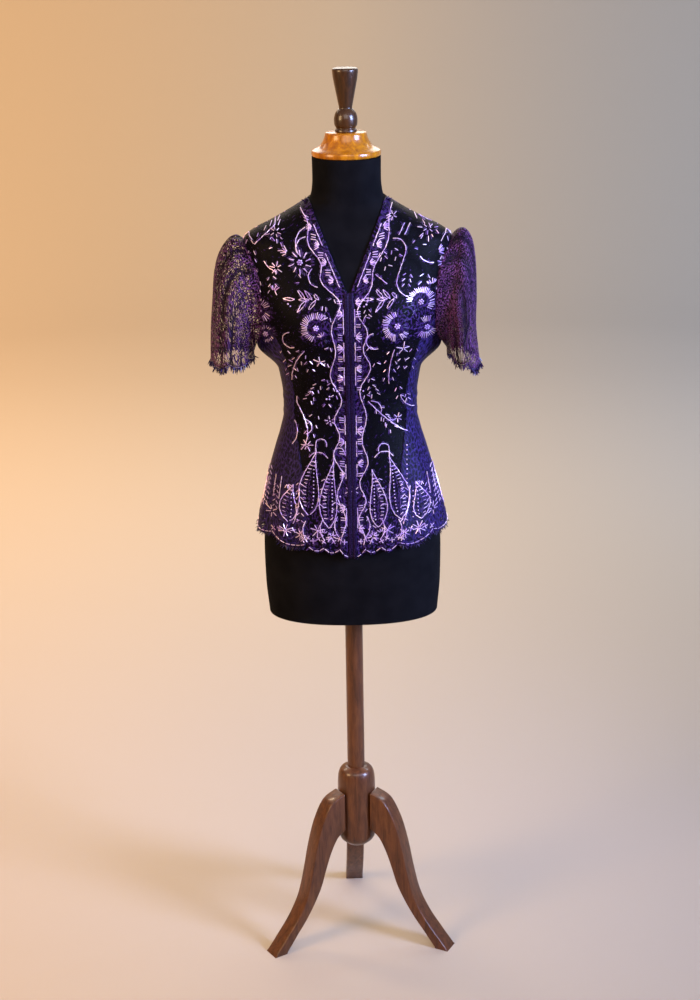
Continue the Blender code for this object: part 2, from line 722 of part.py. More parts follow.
def leg(name, azimuth):
    """A sawn leg: a flat S-shaped outline with its thickness, standing on its cut end."""
    steps = list(range(len(LEG)))
    curves = [Curve(steps, [row[k] for row in LEG]) for k in range(4)]
    shares = [k / LEG_STEPS for k in range((len(LEG) - 1) * LEG_STEPS + 1)]
    upper = [(curves[0](share), curves[1](share)) for share in shares]
    lower = [(curves[2](share), curves[3](share)) for share in shares]
    outline = upper + list(reversed(lower))
    shape = bpy.data.curves.new(name, "CURVE")
    shape.dimensions = "2D"
    shape.fill_mode = "BOTH"
    shape.extrude = LEG_THICKNESS / 2
    spline = shape.splines.new("POLY")
    spline.points.add(len(outline) - 1)
    spline.use_cyclic_u = True
    for point, (radius, height) in zip(spline.points, outline):
        point.co = (radius, height, 0, 1)
    shape.materials.append(surface(*WOOD))
    thing = bpy.data.objects.new(name, shape)
    thing.rotation_euler = (math.pi / 2, 0, azimuth - math.pi / 2)
    return place(thing)


def build():
    """Every piece of the garment and of the form that carries it."""
    left_front = front_rows()
    left_strip = edge_strip_rows()
    left_side = side_rows()
    sheet_solid("front_left", left_front, LACE)
    sheet_solid("front_right", mirrored(left_front), LACE)
    sheet_solid("edge_strip_left", left_strip, STRIP)
    sheet_solid("edge_strip_right", mirrored(left_strip), STRIP)
    sheet_solid("side_left", left_side, LACE)
    sheet_solid("side_right", mirrored(left_side), LACE)
    sheet_solid("back", back_rows(), LACE)

    left_sleeve = sleeve_rows(SLEEVE_LEFT, FOLDS_LEFT)
    right_sleeve = mirrored(sleeve_rows(SLEEVE_RIGHT, FOLDS_RIGHT))
    sheet_solid("sleeve_left", left_sleeve, LACE, closed=True)
    sheet_solid("sleeve_right", right_sleeve, LACE, closed=True)
    cuff_fringe("cuff_fringe_left", left_sleeve, 1)
    cuff_fringe("cuff_fringe_right", right_sleeve, -1)

    form_torso()
    turned("neck_cap", NECK_CAP, WOOD)
    turned("finial", FINIAL, WOOD)
    turned("hub", HUB, WOOD)
    pole()
    leg("leg_front_left", math.radians(60) + LEG_TURN)
    leg("leg_front_right", math.radians(-60) + LEG_TURN)
    leg("leg_back", math.pi + LEG_TURN)


for leftover in list(bpy.data.objects):
    bpy.data.objects.remove(leftover)
PARTS = bpy.data.collections.new("kebaya_on_dress_form")
bpy.context.scene.collection.children.link(PARTS)
AXIS = bpy.data.objects.new("stand_axis", None)
AXIS.location = (STAND_X, STAND_Y, 0)
PARTS.objects.link(AXIS)
build()
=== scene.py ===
# %% [markdown]
# # A beaded lace kebaya on a dress form
#
# A kebaya is a fitted, open-fronted blouse. This one is cut from dark violet net, embroidered by hand
# with bugle beads, seed beads and satin stitches, with short lace sleeves and a scalloped hem. It is
# shown on a limbless dress form with a turned cap and a three-legged stand.
#
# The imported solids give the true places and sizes. This lesson dresses them: every cloth is a thin
# shell on its solid's own form, and every bead is sewn on that shell.

# %% The frame
import math
import random
from collections import namedtuple

import bmesh
import bpy
import numpy as np
from mathutils import Matrix, Vector


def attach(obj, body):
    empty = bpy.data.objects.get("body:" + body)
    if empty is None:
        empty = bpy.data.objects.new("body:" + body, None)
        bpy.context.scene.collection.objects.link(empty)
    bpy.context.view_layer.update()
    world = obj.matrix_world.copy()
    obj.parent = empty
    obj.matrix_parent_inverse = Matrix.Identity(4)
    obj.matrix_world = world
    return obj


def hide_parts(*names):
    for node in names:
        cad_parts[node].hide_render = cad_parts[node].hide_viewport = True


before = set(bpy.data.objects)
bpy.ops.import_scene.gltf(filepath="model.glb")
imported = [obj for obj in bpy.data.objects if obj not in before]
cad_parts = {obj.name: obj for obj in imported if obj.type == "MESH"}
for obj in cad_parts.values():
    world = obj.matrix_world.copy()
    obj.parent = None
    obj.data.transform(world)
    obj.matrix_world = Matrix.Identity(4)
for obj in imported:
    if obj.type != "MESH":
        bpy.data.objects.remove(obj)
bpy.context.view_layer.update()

# %% [markdown]
# ## The body's form as a function
#
# The cloth has no simple shape, but its form can be worked out: a body is a stack of rounded sections,
# and the cloth lies on it with a little ease. With one function for the surface, cloth and beads
# always agree. The same few sections as in the solids are read as smooth curves, and numpy works out
# thousands of points at once.

# %% Smooth curves and small helpers
AXIS = np.array((0.0069, -0.039, 0.0))
WALL = 0.0012
SEAM_MARGIN = 0.00016


class Curve:
    """A smooth curve through keys and values that never overshoots them."""

    def __init__(self, keys, values):
        self.keys, self.values = np.array(keys, float), np.array(values, float)
        secants = np.diff(self.values) / np.diff(self.keys)
        product = secants[:-1] * secants[1:]
        total = np.where(product > 0, secants[:-1] + secants[1:], 1.0)
        inner = np.where(product > 0, 2 * product / total, 0.0)
        self.slopes = np.concatenate((secants[:1], inner, secants[-1:]))

    def __call__(self, at):
        at = np.clip(at, self.keys[0], self.keys[-1])
        i = np.clip(np.searchsorted(self.keys, at) - 1, 0, len(self.keys) - 2)
        span = self.keys[i + 1] - self.keys[i]
        t = (at - self.keys[i]) / span
        rise = t * t * (3 - 2 * t)
        ends = self.values[i] * (1 - rise) + self.values[i + 1] * rise
        leave = self.slopes[i] * t * (1 - t) ** 2
        arrive = self.slopes[i + 1] * t * t * (t - 1)
        return ends + span * (leave + arrive)


def column(rows, name, key="z"):
    """One named column of a table as a smooth curve over another."""
    return Curve([getattr(row, key) for row in rows], [getattr(row, name) for row in rows])


def smoothstep(low, high, value):
    """0 at low, 1 at high, with soft ends."""
    t = np.clip((value - low) / (high - low), 0.0, 1.0)
    return t * t * (3 - 2 * t)


def bell(value):
    """1 at the middle, fading to nothing on both sides."""
    return np.exp(-np.square(value))


def mix(start, end, share):
    """What lies a share of the way from start to end."""
    return start + (end - start) * share


def half_turn(phi):
    """The angle from the centre front, the same on the left and on the right."""
    return np.abs((phi + np.pi) % (2 * np.pi) - np.pi)


# %% The sections of the form and the room inside the cloth
Section = namedtuple("Section", "z half_width front back ease")
SECTIONS = (
    Section(0.660, 0.1520, 0.0920, 0.1000, 0.0110),
    Section(0.720, 0.1570, 0.0960, 0.1060, 0.0115),
    Section(0.780, 0.1580, 0.0990, 0.1100, 0.0120),
    Section(0.830, 0.1558, 0.1010, 0.1120, 0.0110),
    Section(0.880, 0.1478, 0.1000, 0.1090, 0.0060),
    Section(0.925, 0.1405, 0.0960, 0.1030, 0.0033),
    Section(0.965, 0.1305, 0.0900, 0.0940, 0.0023),
    Section(1.000, 0.1205, 0.0850, 0.0860, 0.0018),
    Section(1.035, 0.1137, 0.0820, 0.0820, 0.0015),
    Section(1.065, 0.1143, 0.0820, 0.0820, 0.0015),
    Section(1.100, 0.1190, 0.0860, 0.0860, 0.0014),
    Section(1.140, 0.1275, 0.0930, 0.0910, 0.0014),
    Section(1.180, 0.1375, 0.0980, 0.0950, 0.0013),
    Section(1.220, 0.1560, 0.0970, 0.0980, 0.0013),
    Section(1.250, 0.1660, 0.0930, 0.0990, 0.0013),
    Section(1.290, 0.1730, 0.0860, 0.0980, 0.0015),
    Section(1.320, 0.1760, 0.0800, 0.0940, 0.0019),
    Section(1.338, 0.1735, 0.0750, 0.0880, 0.0022),
    Section(1.350, 0.1600, 0.0700, 0.0820, 0.0019),
    Section(1.365, 0.1310, 0.0660, 0.0740, 0.0015),
    Section(1.380, 0.1040, 0.0620, 0.0680, 0.0014),
    Section(1.395, 0.0790, 0.0595, 0.0630, 0.0014),
    Section(1.405, 0.0640, 0.0580, 0.0600, 0.0013),
    Section(1.420, 0.0595, 0.0575, 0.0585, 0.0010),
    Section(1.440, 0.0580, 0.0575, 0.0580, 0.0010),
    Section(1.475, 0.0582, 0.0580, 0.0582, 0.0010),
)
SQUARENESS = 2.3
HALF_WIDTH = column(SECTIONS, "half_width")
FRONT_DEPTH = column(SECTIONS, "front")
BACK_DEPTH = column(SECTIONS, "back")
EASE = column(SECTIONS, "ease")
FORM_BOTTOM, FORM_TOP = SECTIONS[0].z, SECTIONS[-1].z

BUST_Z, BUST_RISE = 1.190, 0.016
BUST_ANGLE, BUST_OUTER_SPREAD = np.radians(36), np.radians(26)
BUST_DIP = 0.30
BUST_UPPER_HEIGHT, BUST_LOWER_HEIGHT = 0.075, 0.055

UNDERARM_EASE, UNDERARM_SPREAD = 0.0260, np.radians(17)
UNDERARM_LOW, UNDERARM_FULL = 1.112, 1.158
UNDERARM_FADE, UNDERARM_TOP = 1.166, 1.250


def bust(phi, z):
    """How far the bust rises above the plain section."""
    away = half_turn(phi) - BUST_ANGLE
    dip = 1 - BUST_DIP * (1 - np.cos(np.pi * away / BUST_ANGLE)) / 2
    across = np.where(away < 0, dip, bell(away / BUST_OUTER_SPREAD))
    height = np.where(z > BUST_Z, BUST_UPPER_HEIGHT, BUST_LOWER_HEIGHT)
    return BUST_RISE * across * bell((z - BUST_Z) / height)


def form_point(phi, z):
    """Points of the form's surface."""
    phi, z = np.broadcast_arrays(np.asarray(phi, float), np.asarray(z, float))
    side, fore = np.sin(phi), np.cos(phi)
    depth = np.where(fore > 0, FRONT_DEPTH(z), BACK_DEPTH(z))
    squared = np.abs(side / HALF_WIDTH(z)) ** SQUARENESS + np.abs(fore / depth) ** SQUARENESS
    radius = squared ** (-1 / SQUARENESS) + bust(phi, z)
    return np.stack((radius * side, -radius * fore, z), axis=-1)


def unit(vectors):
    """Vectors of length one."""
    return vectors / np.linalg.norm(vectors, axis=-1, keepdims=True)


def form_normal(phi, z):
    """The directions that point out of the form."""
    turn, lift = 0.004, 0.0008
    low, high = np.maximum(z - lift, FORM_BOTTOM), np.minimum(z + lift, FORM_TOP)
    across = form_point(phi + turn, z) - form_point(phi - turn, z)
    return unit(np.cross(across, form_point(phi, high) - form_point(phi, low)))


def cloth_ease(phi, z):
    """The room between the form and the inner side of the cloth."""
    aside = (half_turn(phi) - np.pi / 2) / UNDERARM_SPREAD
    rise = smoothstep(UNDERARM_LOW, UNDERARM_FULL, z)
    fade = 1 - smoothstep(UNDERARM_FADE, UNDERARM_TOP, z)
    return EASE(z) + UNDERARM_EASE * bell(aside) * rise * fade


# %% [markdown]
# ## Creases
#
# Worn cloth is never quite smooth. A fitted blouse pulls in short soft ridges at the waist and under
# the arm, and its flared hem swings in long ones. Each is one row of a table: where
# its middle is, how long, wide and high it is and how it leans. A simulation could find such creases,
# but on a tight garment it mostly finds trouble, and a table can be steered.

# %% The creases of the body
Crease = namedtuple("Crease", "angle z long wide rise lean")
CREASES = (
    Crease(62, 0.870, 0.065, 0.010, 0.0034, 0.10),
    Crease(51, 0.862, 0.050, 0.008, -0.0028, 0.05),
    Crease(84, 0.880, 0.060, 0.012, 0.0026, -0.05),
    Crease(74, 0.850, 0.040, 0.008, -0.0030, 0.00),
    Crease(104, 0.868, 0.070, 0.011, 0.0032, -0.08),
    Crease(95, 0.846, 0.038, 0.007, -0.0024, 0.04),
    Crease(128, 0.860, 0.055, 0.012, 0.0030, 0.06),
    Crease(30, 0.845, 0.045, 0.012, 0.0022, 0.08),
    Crease(12, 0.838, 0.040, 0.010, 0.0016, -0.04),
    Crease(148, 0.852, 0.060, 0.012, 0.0028, -0.06),
    Crease(166, 0.848, 0.050, 0.010, 0.0022, 0.05),
    Crease(68, 1.046, 0.0050, 0.030, 0.0018, 0.0),
    Crease(80, 1.062, 0.0045, 0.024, 0.0015, 0.0),
    Crease(98, 1.034, 0.0055, 0.028, 0.0019, 0.0),
    Crease(118, 1.052, 0.0050, 0.030, 0.0017, 0.0),
    Crease(40, 1.072, 0.0045, 0.022, 0.0011, 0.0),
    Crease(150, 1.040, 0.0050, 0.034, 0.0016, 0.0),
    Crease(176, 1.066, 0.0050, 0.030, 0.0014, 0.0),
    Crease(58, 1.142, 0.024, 0.0050, 0.0015, 0.9),
    Crease(66, 1.128, 0.020, 0.0045, 0.0013, 1.1),
    Crease(116, 1.140, 0.026, 0.0055, 0.0016, -0.9),
    Crease(128, 1.170, 0.034, 0.0060, 0.0015, -0.7),
    Crease(62, 1.300, 0.022, 0.0050, 0.0012, -0.5),
    Crease(122, 1.302, 0.028, 0.0060, 0.0014, 0.5),
)
RIGHT_SHARE = 0.8
RIGHT_SHIFT = np.radians(3.0)
HEM_FLUTTER = 0.0011
FLUTTER_WAVES = 23
FLUTTER_TOP = 0.880


def crease_rise(phi, z):
    """How far the creases lift the cloth: the right side's are a little lower and shifted."""
    left = np.sin(phi) >= 0
    around = half_turn(phi) + np.where(left, 0.0, RIGHT_SHIFT)
    rise = np.zeros(np.broadcast(phi, z).shape)
    for crease in CREASES:
        up = z - crease.z
        aside = (around - np.radians(crease.angle)) * HALF_WIDTH(z) * 0.9 - crease.lean * up
        rise = rise + crease.rise * bell(aside / crease.wide) * bell(up / crease.long)
    rise = rise * np.where(left, 1.0, RIGHT_SHARE)
    flutter = HEM_FLUTTER * np.sin(FLUTTER_WAVES * phi + 2 * np.sin(3 * phi))
    rise = rise + flutter * (1 - smoothstep(0.800, FLUTTER_TOP, z))
    return np.maximum(rise, 0.0006 - EASE(z))


def cloth_point(phi, z, out):
    """Points of the cloth, moved out from its inner side."""
    reach = cloth_ease(phi, z) + crease_rise(phi, z) + out
    return form_point(phi, z) + form_normal(phi, z) * reach[..., None]


print("creases placed by hand:", len(CREASES))

# %% [markdown]
# ## The camera
#
# The camera stands a little above the shoulders and looks down, as in the photograph. Its height,
# tilt and lens were fitted to the form's cap, hem and feet. It comes early, so that every later step
# can be looked at through it.

# %% The camera
CAMERA_PLACE = (-0.0033 + AXIS[0], -3.2 + AXIS[1], 1.9517)
CAMERA_TILT = 0.32779
CAMERA_ROLL = -0.01656
CAMERA_LENS = 68.17
camera = bpy.data.objects.new("camera", bpy.data.cameras.new("camera"))
bpy.context.scene.collection.objects.link(camera)
camera.data.sensor_fit = "VERTICAL"
camera.data.sensor_height = camera.data.sensor_width = 36.0
camera.data.lens = CAMERA_LENS
tilt = Matrix.Rotation(math.pi / 2 - CAMERA_TILT, 4, "X") @ Matrix.Rotation(CAMERA_ROLL, 4, "Z")
camera.matrix_world = Matrix.Translation(CAMERA_PLACE) @ tilt
bpy.context.scene.camera = camera
print("the camera stands", round(-camera.location.y, 2), "m in front")

# %% [markdown]
# ## Materials
#
# A finish is built from a few nodes. One small helper makes a node, sets it up and links it in one
# line, so a material reads as a short list. Cloth patterns read the cloth's own UV map, which is in
# metres, so a scale of 400 means 400 meshes to the metre.

# %% A helper for nodes
def add(tree, kind, setup=None, **inputs):
    """A node with its settings and its inputs: a socket is linked, anything else is a value."""
    made = tree.nodes.new(kind)
    for name, value in (setup or {}).items():
        setattr(made, name, value)
    for name, value in inputs.items():
        key = int(name[1:]) if name[0] == "_" else name.replace("_", " ")
        if isinstance(value, bpy.types.NodeSocket):
            tree.links.new(value, made.inputs[key])
        else:
            made.inputs[key].default_value = value
    return made


def finish_of(name, **fixed):
    """A new material, its tree and its shader, with the fixed values set on the shader."""
    material = bpy.data.materials.new(name)
    material.use_nodes = True
    shader = material.node_tree.nodes["Principled BSDF"]
    for key, value in fixed.items():
        shader.inputs[key.replace("_", " ")].default_value = value
    return material, material.node_tree, shader


def ramp(tree, factor, *stops):
    """A colour ramp: each stop is a place and a colour."""
    made = add(tree, "ShaderNodeValToRGB", Fac=factor)
    elements = made.color_ramp.elements
    while len(elements) < len(stops):
        elements.new(0.5)
    for element, (place, colour) in zip(elements, stops):
        element.position = place
        element.color = (*colour, 1.0)
    return made.outputs["Color"]


def math_node(tree, operation, first, second=0.0, third=0.0):
    """One step of arithmetic on sockets or numbers."""
    made = add(tree, "ShaderNodeMath", {"operation": operation}, _0=first, _1=second, _2=third)
    return made.outputs[0]


def span(tree, value, low, high, to_low=0.0, to_high=1.0):
    """A value taken softly from one range to another."""
    made = add(tree, "ShaderNodeMapRange", {"interpolation_type": "SMOOTHSTEP"}, Value=value,
               From_Min=low, From_Max=high, To_Min=to_low, To_Max=to_high)
    return made.outputs["Result"]


def bump(tree, shader, height, distance, strength=1.0):
    """Fine relief from a height."""
    made = add(tree, "ShaderNodeBump", Height=height, Distance=distance, Strength=strength)
    tree.links.new(made.outputs["Normal"], shader.inputs["Normal"])


# %% Lacquered wood and black jersey
def wood(name, dark, middle, light, roughness):
    """Turned hardwood under lacquer: long grain, a few darker streaks and a glossy coat."""
    material, tree, shader = finish_of(name, Coat_Weight=0.35, Coat_Roughness=0.14,
                                       Specular_IOR_Level=0.3)
    place = add(tree, "ShaderNodeTexCoord").outputs["Object"]
    along = add(tree, "ShaderNodeMapping", Vector=place, Scale=(38, 38, 5)).outputs[0]
    grain = add(tree, "ShaderNodeTexNoise", Vector=along, Scale=3.0, Detail=8.0, Roughness=0.65,
                Distortion=0.6).outputs["Fac"]
    fine = add(tree, "ShaderNodeMapping", Vector=place, Scale=(260, 260, 14)).outputs[0]
    pores = add(tree, "ShaderNodeTexNoise", Vector=fine, Scale=3.0, Detail=3.0).outputs["Fac"]
    mixed = math_node(tree, "MULTIPLY_ADD", pores, 0.25, math_node(tree, "MULTIPLY", grain, 0.8))
    colour = ramp(tree, mixed, (0.34, dark), (0.50, middle), (0.68, light))
    tree.links.new(colour, shader.inputs["Base Color"])
    tree.links.new(span(tree, grain, 0.3, 0.8, roughness + 0.06, roughness - 0.04),
                   shader.inputs["Roughness"])
    bump(tree, shader, mixed, 0.0004, 0.25)
    return material


def jersey():
    """Black knitted cotton: fine ribs with a soft dusty sheen."""
    material, tree, shader = finish_of("black_jersey", Roughness=0.95, Specular_IOR_Level=0.04)
    place = add(tree, "ShaderNodeTexCoord").outputs["Object"]
    ribs = add(tree, "ShaderNodeTexWave", {"bands_direction": "Z"}, Vector=place, Scale=260.0,
               Distortion=1.2, Detail=2.0, Detail_Scale=3.0).outputs["Fac"]
    cloud = add(tree, "ShaderNodeTexNoise", Vector=place, Scale=30.0, Detail=4.0).outputs["Fac"]
    colour = ramp(tree, cloud, (0.3, (0.0026, 0.0025, 0.0034)), (0.7, (0.0050, 0.0047, 0.0058)))
    tree.links.new(colour, shader.inputs["Base Color"])
    bump(tree, shader, ribs, 0.0004, 0.5)
    return material


CAP_WOOD = wood("cap_lacquer", (0.13, 0.036, 0.002), (0.32, 0.102, 0.003),
                (0.50, 0.190, 0.005), 0.24)
FINIAL_WOOD = wood("finial_lacquer", (0.012, 0.0045, 0.0015), (0.030, 0.0105, 0.0030),
                   (0.060, 0.021, 0.0055), 0.34)
LEG_WOOD = wood("leg_lacquer", (0.030, 0.0095, 0.0035), (0.075, 0.023, 0.0080),
                (0.125, 0.042, 0.014), 0.38)
JERSEY = jersey()
print("materials so far:", len(bpy.data.materials))

# %% [markdown]
# ## Lace and net
#
# Net is mostly holes. Modelling each hole would take millions of faces, so the holes are cut by the
# material: where the pattern leaves the thread, the surface is clear. A Voronoi pattern makes the
# meshes of net, and the same pattern at a larger scale, pulled long, makes the open work of lace. An
# attribute on the mesh, called cover, says where the embroidery closes the net.

# %% Openwork materials
def meshes(tree, uv, across, along, randomness, thread):
    """Threads between holes: 1 on the thread, 0 in the hole."""
    place = add(tree, "ShaderNodeMapping", Vector=uv, Scale=(1 / across, 1 / along, 1)).outputs[0]
    edge = add(tree, "ShaderNodeTexVoronoi",
               {"feature": "DISTANCE_TO_EDGE", "voronoi_dimensions": "2D"},
               Vector=place, Scale=1.0, Randomness=randomness).outputs["Distance"]
    return span(tree, edge, thread + 0.04, thread - 0.02)


def noise(tree, uv, scale, detail=3.0):
    """Soft random patches on the cloth's own map."""
    return add(tree, "ShaderNodeTexNoise", {"noise_dimensions": "2D"}, Vector=uv, Scale=scale,
               Detail=detail).outputs["Fac"]


def openwork(name, pattern, *colours, sheen=0.03, gloss=0.15, roughness=0.5):
    """A lace: pattern gives its thread, from 0 to 1, and the shade of the thread."""
    material, tree, shader = finish_of(name, Roughness=roughness, Specular_IOR_Level=gloss,
                                       Sheen_Weight=sheen, Sheen_Roughness=0.35,
                                       Sheen_Tint=(0.35, 0.22, 1.0, 1.0))
    uv = add(tree, "ShaderNodeUVMap", {"uv_map": "cloth"}).outputs["UV"]
    thread, shade = pattern(tree, uv)
    tree.links.new(ramp(tree, shade, *colours), shader.inputs["Base Color"])
    tree.links.new(thread, shader.inputs["Alpha"])
    bump(tree, shader, shade, 0.0006, 0.7)
    return material


def cover_of(tree):
    """How far the embroidery closes the net here."""
    return add(tree, "ShaderNodeAttribute", {"attribute_name": "cover"}).outputs["Fac"]


def net_pattern(tree, uv):
    """Fine tulle, closed by sprigs of thread where cover is high."""
    tulle = meshes(tree, uv, 0.0019, 0.0019, 0.45, 0.13)
    sprigs = meshes(tree, uv, 0.0062, 0.0090, 0.95, 0.20)
    veil = noise(tree, uv, 210.0)
    edge = math_node(tree, "SUBTRACT", 1.0, math_node(tree, "MULTIPLY", cover_of(tree), 0.62))
    worked = math_node(tree, "MULTIPLY_ADD", sprigs, 0.30, veil)
    closed = span(tree, math_node(tree, "SUBTRACT", worked, edge), -0.05, 0.05)
    thread = math_node(tree, "MAXIMUM", tulle, closed)
    shade = math_node(tree, "MULTIPLY", worked, math_node(tree, "MULTIPLY_ADD", closed, 0.65, 0.12))
    return thread, shade


def side_pattern(tree, uv):
    """Close lace of small leaves with pin holes between them."""
    holes = meshes(tree, uv, 0.0030, 0.0042, 0.9, 0.30)
    leaves = meshes(tree, uv, 0.0075, 0.0110, 1.0, 0.16)
    veil = noise(tree, uv, 150.0)
    thread = math_node(tree, "MAXIMUM", holes, span(tree, veil, 0.46, 0.52))
    shade = math_node(tree, "MULTIPLY_ADD", leaves, 0.35, math_node(tree, "MULTIPLY", veil, 0.9))
    return thread, shade


def sleeve_pattern(tree, uv):
    """Open lace: eyelets in slanting rows, some filled, closed in the troughs of the gathers, where
    painted shade darkens the colour.
    """
    slant = add(tree, "ShaderNodeMapping", Vector=uv, Rotation=(0, 0, 0.22)).outputs[0]
    eyelets = meshes(tree, slant, 0.0056, 0.0064, 0.75, 0.11)
    fine = meshes(tree, uv, 0.0021, 0.0025, 0.9, 0.12)
    filled = span(tree, noise(tree, uv, 120.0), 0.47, 0.42)
    trough = add(tree, "ShaderNodeAttribute", {"attribute_name": "trough"}).outputs["Fac"]
    shut = math_node(tree, "MAXIMUM", cover_of(tree), span(tree, trough, 0.88, 1.0))
    shut = math_node(tree, "MAXIMUM", shut, filled)
    closed = math_node(tree, "MAXIMUM", math_node(tree, "MULTIPLY", fine, 0.15), shut)
    thread = math_node(tree, "MAXIMUM", eyelets, closed)
    specks = span(tree, noise(tree, uv, 330.0), 0.40, 0.60, 0.0, 0.9)
    flecks = math_node(tree, "MULTIPLY_ADD", eyelets, 0.12, specks)
    # Painted shade: the colour darkens in the troughs of the gathers and brightens a little on their
    # ridges.
    shade = math_node(tree, "MULTIPLY", flecks, math_node(tree, "MULTIPLY_ADD", trough, -0.62, 1.05))
    return thread, shade


def braid_pattern(tree, uv):
    """The narrow edge lace: small close scales with a picot along each side."""
    scales = meshes(tree, uv, 0.0024, 0.0030, 0.5, 0.34)
    veil = noise(tree, uv, 320.0)
    thread = math_node(tree, "MAXIMUM", scales, span(tree, veil, 0.36, 0.44))
    return thread, math_node(tree, "MULTIPLY_ADD", scales, 0.35, math_node(tree, "MULTIPLY", veil, 0.8))


NET = openwork("embroidered_tulle", net_pattern,
               (0.10, (0.0020, 0.0016, 0.0034)), (0.35, (0.0070, 0.0028, 0.0190)),
               (0.80, (0.036, 0.012, 0.090)), sheen=0.0, gloss=0.06)
SIDE_LACE = openwork("close_violet_lace", side_pattern,
                     (0.30, (0.0018, 0.0010, 0.0050)), (0.60, (0.0070, 0.0036, 0.024)),
                     (0.95, (0.026, 0.013, 0.092)), sheen=0.01, gloss=0.08)
SLEEVE_LACE = openwork("open_violet_lace", sleeve_pattern,
                       (0.08, (0.0020, 0.0008, 0.0028)), (0.42, (0.0130, 0.0038, 0.018)),
                       (0.85, (0.130, 0.042, 0.150)), sheen=0.0, gloss=0.06)
BRAID = openwork("edge_braid", braid_pattern,
                 (0.30, (0.0016, 0.0010, 0.0034)), (0.65, (0.0030, 0.0014, 0.0080)),
                 (0.95, (0.022, 0.009, 0.050)), sheen=0.0, gloss=0.05)
print("materials with lace and net:", len(bpy.data.materials))

# %% Beads and embroidery thread
def bead_glass():
    """Silver-lined glass: bright and a little metallic, each bead between pink and lilac."""
    material, tree, shader = finish_of("silver_lined_bead", Metallic=0.5, Roughness=0.34,
                                       Coat_Weight=0.4, Coat_Roughness=0.12)
    tint = add(tree, "ShaderNodeAttribute", {"attribute_name": "tint"}).outputs["Fac"]
    colour = ramp(tree, tint, (0.00, (0.42, 0.22, 0.62)), (0.35, (0.66, 0.46, 0.82)),
                  (0.70, (0.80, 0.58, 0.80)), (1.00, (0.92, 0.66, 0.74)))
    tree.links.new(colour, shader.inputs["Base Color"])
    return material


def satin_thread():
    """Embroidery floss: violet with a silky lengthwise sheen."""
    material, tree, shader = finish_of("satin_thread", Roughness=0.36, Specular_IOR_Level=0.3)
    tint = add(tree, "ShaderNodeAttribute", {"attribute_name": "tint"}).outputs["Fac"]
    colour = ramp(tree, tint, (0.0, (0.0060, 0.0022, 0.024)), (0.5, (0.0180, 0.0055, 0.058)),
                  (1.0, (0.060, 0.016, 0.120)))
    tree.links.new(colour, shader.inputs["Base Color"])
    return material


BEAD = bead_glass()
THREAD = satin_thread()
print("materials:", ", ".join(sorted(item.name for item in bpy.data.materials)[:14]))

# %% [markdown]
# ## From a grid of points to a piece of cloth
#
# Every panel is a grid: rows up the body, columns across it. The grid becomes a mesh with a UV map
# that measures real lengths along the cloth, and Solidify gives it a wall of half a millimetre.

# %% Making a piece and adding it to the object
PIECES = {}


def hand_in(name, mesh, material, slot, *nodes):
    """A finished mesh as a piece of the object, which may stand for some solids."""
    piece = bpy.data.objects.new(name, mesh)
    bpy.context.scene.collection.objects.link(piece)
    if material is not None:
        mesh.materials.clear()
        mesh.materials.append(material)
    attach(piece, "root")
    if nodes:
        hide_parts(*nodes)
    PIECES[name] = piece
    return piece


def grid_mesh(name, points, closed=False, **attributes):
    """A grid of points as a smooth mesh, with a UV map in metres and attributes by point."""
    rows, columns = points.shape[:2]
    if closed:
        points = np.concatenate((points, points[:, :1]), axis=1)
        columns += 1
    across = np.linalg.norm(np.diff(points, axis=1), axis=-1)
    along = np.linalg.norm(np.diff(points, axis=0), axis=-1)
    u = np.concatenate((np.zeros((rows, 1)), np.cumsum(across, axis=1)), axis=1)
    v = np.concatenate((np.zeros((1, columns)), np.cumsum(along, axis=0)), axis=0)
    u = u - u[:, columns // 2][:, None]
    low = np.arange(rows - 1)[:, None] * columns + np.arange(columns - 1)
    quads = np.stack((low, low + 1, low + columns + 1, low + columns), axis=-1).reshape(-1, 4)
    mesh = bpy.data.meshes.new(name)
    mesh.from_pydata((points.reshape(-1, 3) + AXIS).tolist(), [], quads.tolist())
    layer = mesh.uv_layers.new(name="cloth")
    places = np.stack((u, v), axis=-1).reshape(-1, 2)[quads.reshape(-1)]
    layer.data.foreach_set("uv", places.ravel().astype(np.float32))
    for key, values in attributes.items():
        if closed:
            values = np.concatenate((values, values[:, :1]), axis=1)
        made = mesh.attributes.new(key, "FLOAT", "POINT")
        made.data.foreach_set("value", values.ravel().astype(np.float32))
    if closed:
        shape = bmesh.new()
        shape.from_mesh(mesh)
        bmesh.ops.remove_doubles(shape, verts=shape.verts, dist=0.00002)
        shape.to_mesh(mesh)
        shape.free()
    mesh.shade_smooth()
    return mesh


CLOTH_THICKNESS = 0.0005


def give_wall(piece, thickness=CLOTH_THICKNESS):
    """A thin wall inwards from the cloth's face."""
    wall = piece.modifiers.new("wall", "SOLIDIFY")
    wall.thickness = thickness
    wall.offset = -1.0


# %% [markdown]
# ## The cut: seams, neckline, hem and armholes
#
# The seams are curves of angle over height. The neckline runs straight from its point to the side of
# the neck, the armhole is an oval round the side of the body, and the hem is a row of scallops.

# %% Seams, neckline, hem and armholes
ARMHOLE_Z, ARMHOLE_HALF_HEIGHT = 1.249, 0.088
ARMHOLE_FRONT, ARMHOLE_BACK = np.radians(20), np.radians(22)
ARMHOLE_TOP = ARMHOLE_Z + ARMHOLE_HALF_HEIGHT
PANEL_TURN = np.radians(30)
SEAM_TOP = ARMHOLE_Z - ARMHOLE_HALF_HEIGHT * math.sin(PANEL_TURN)

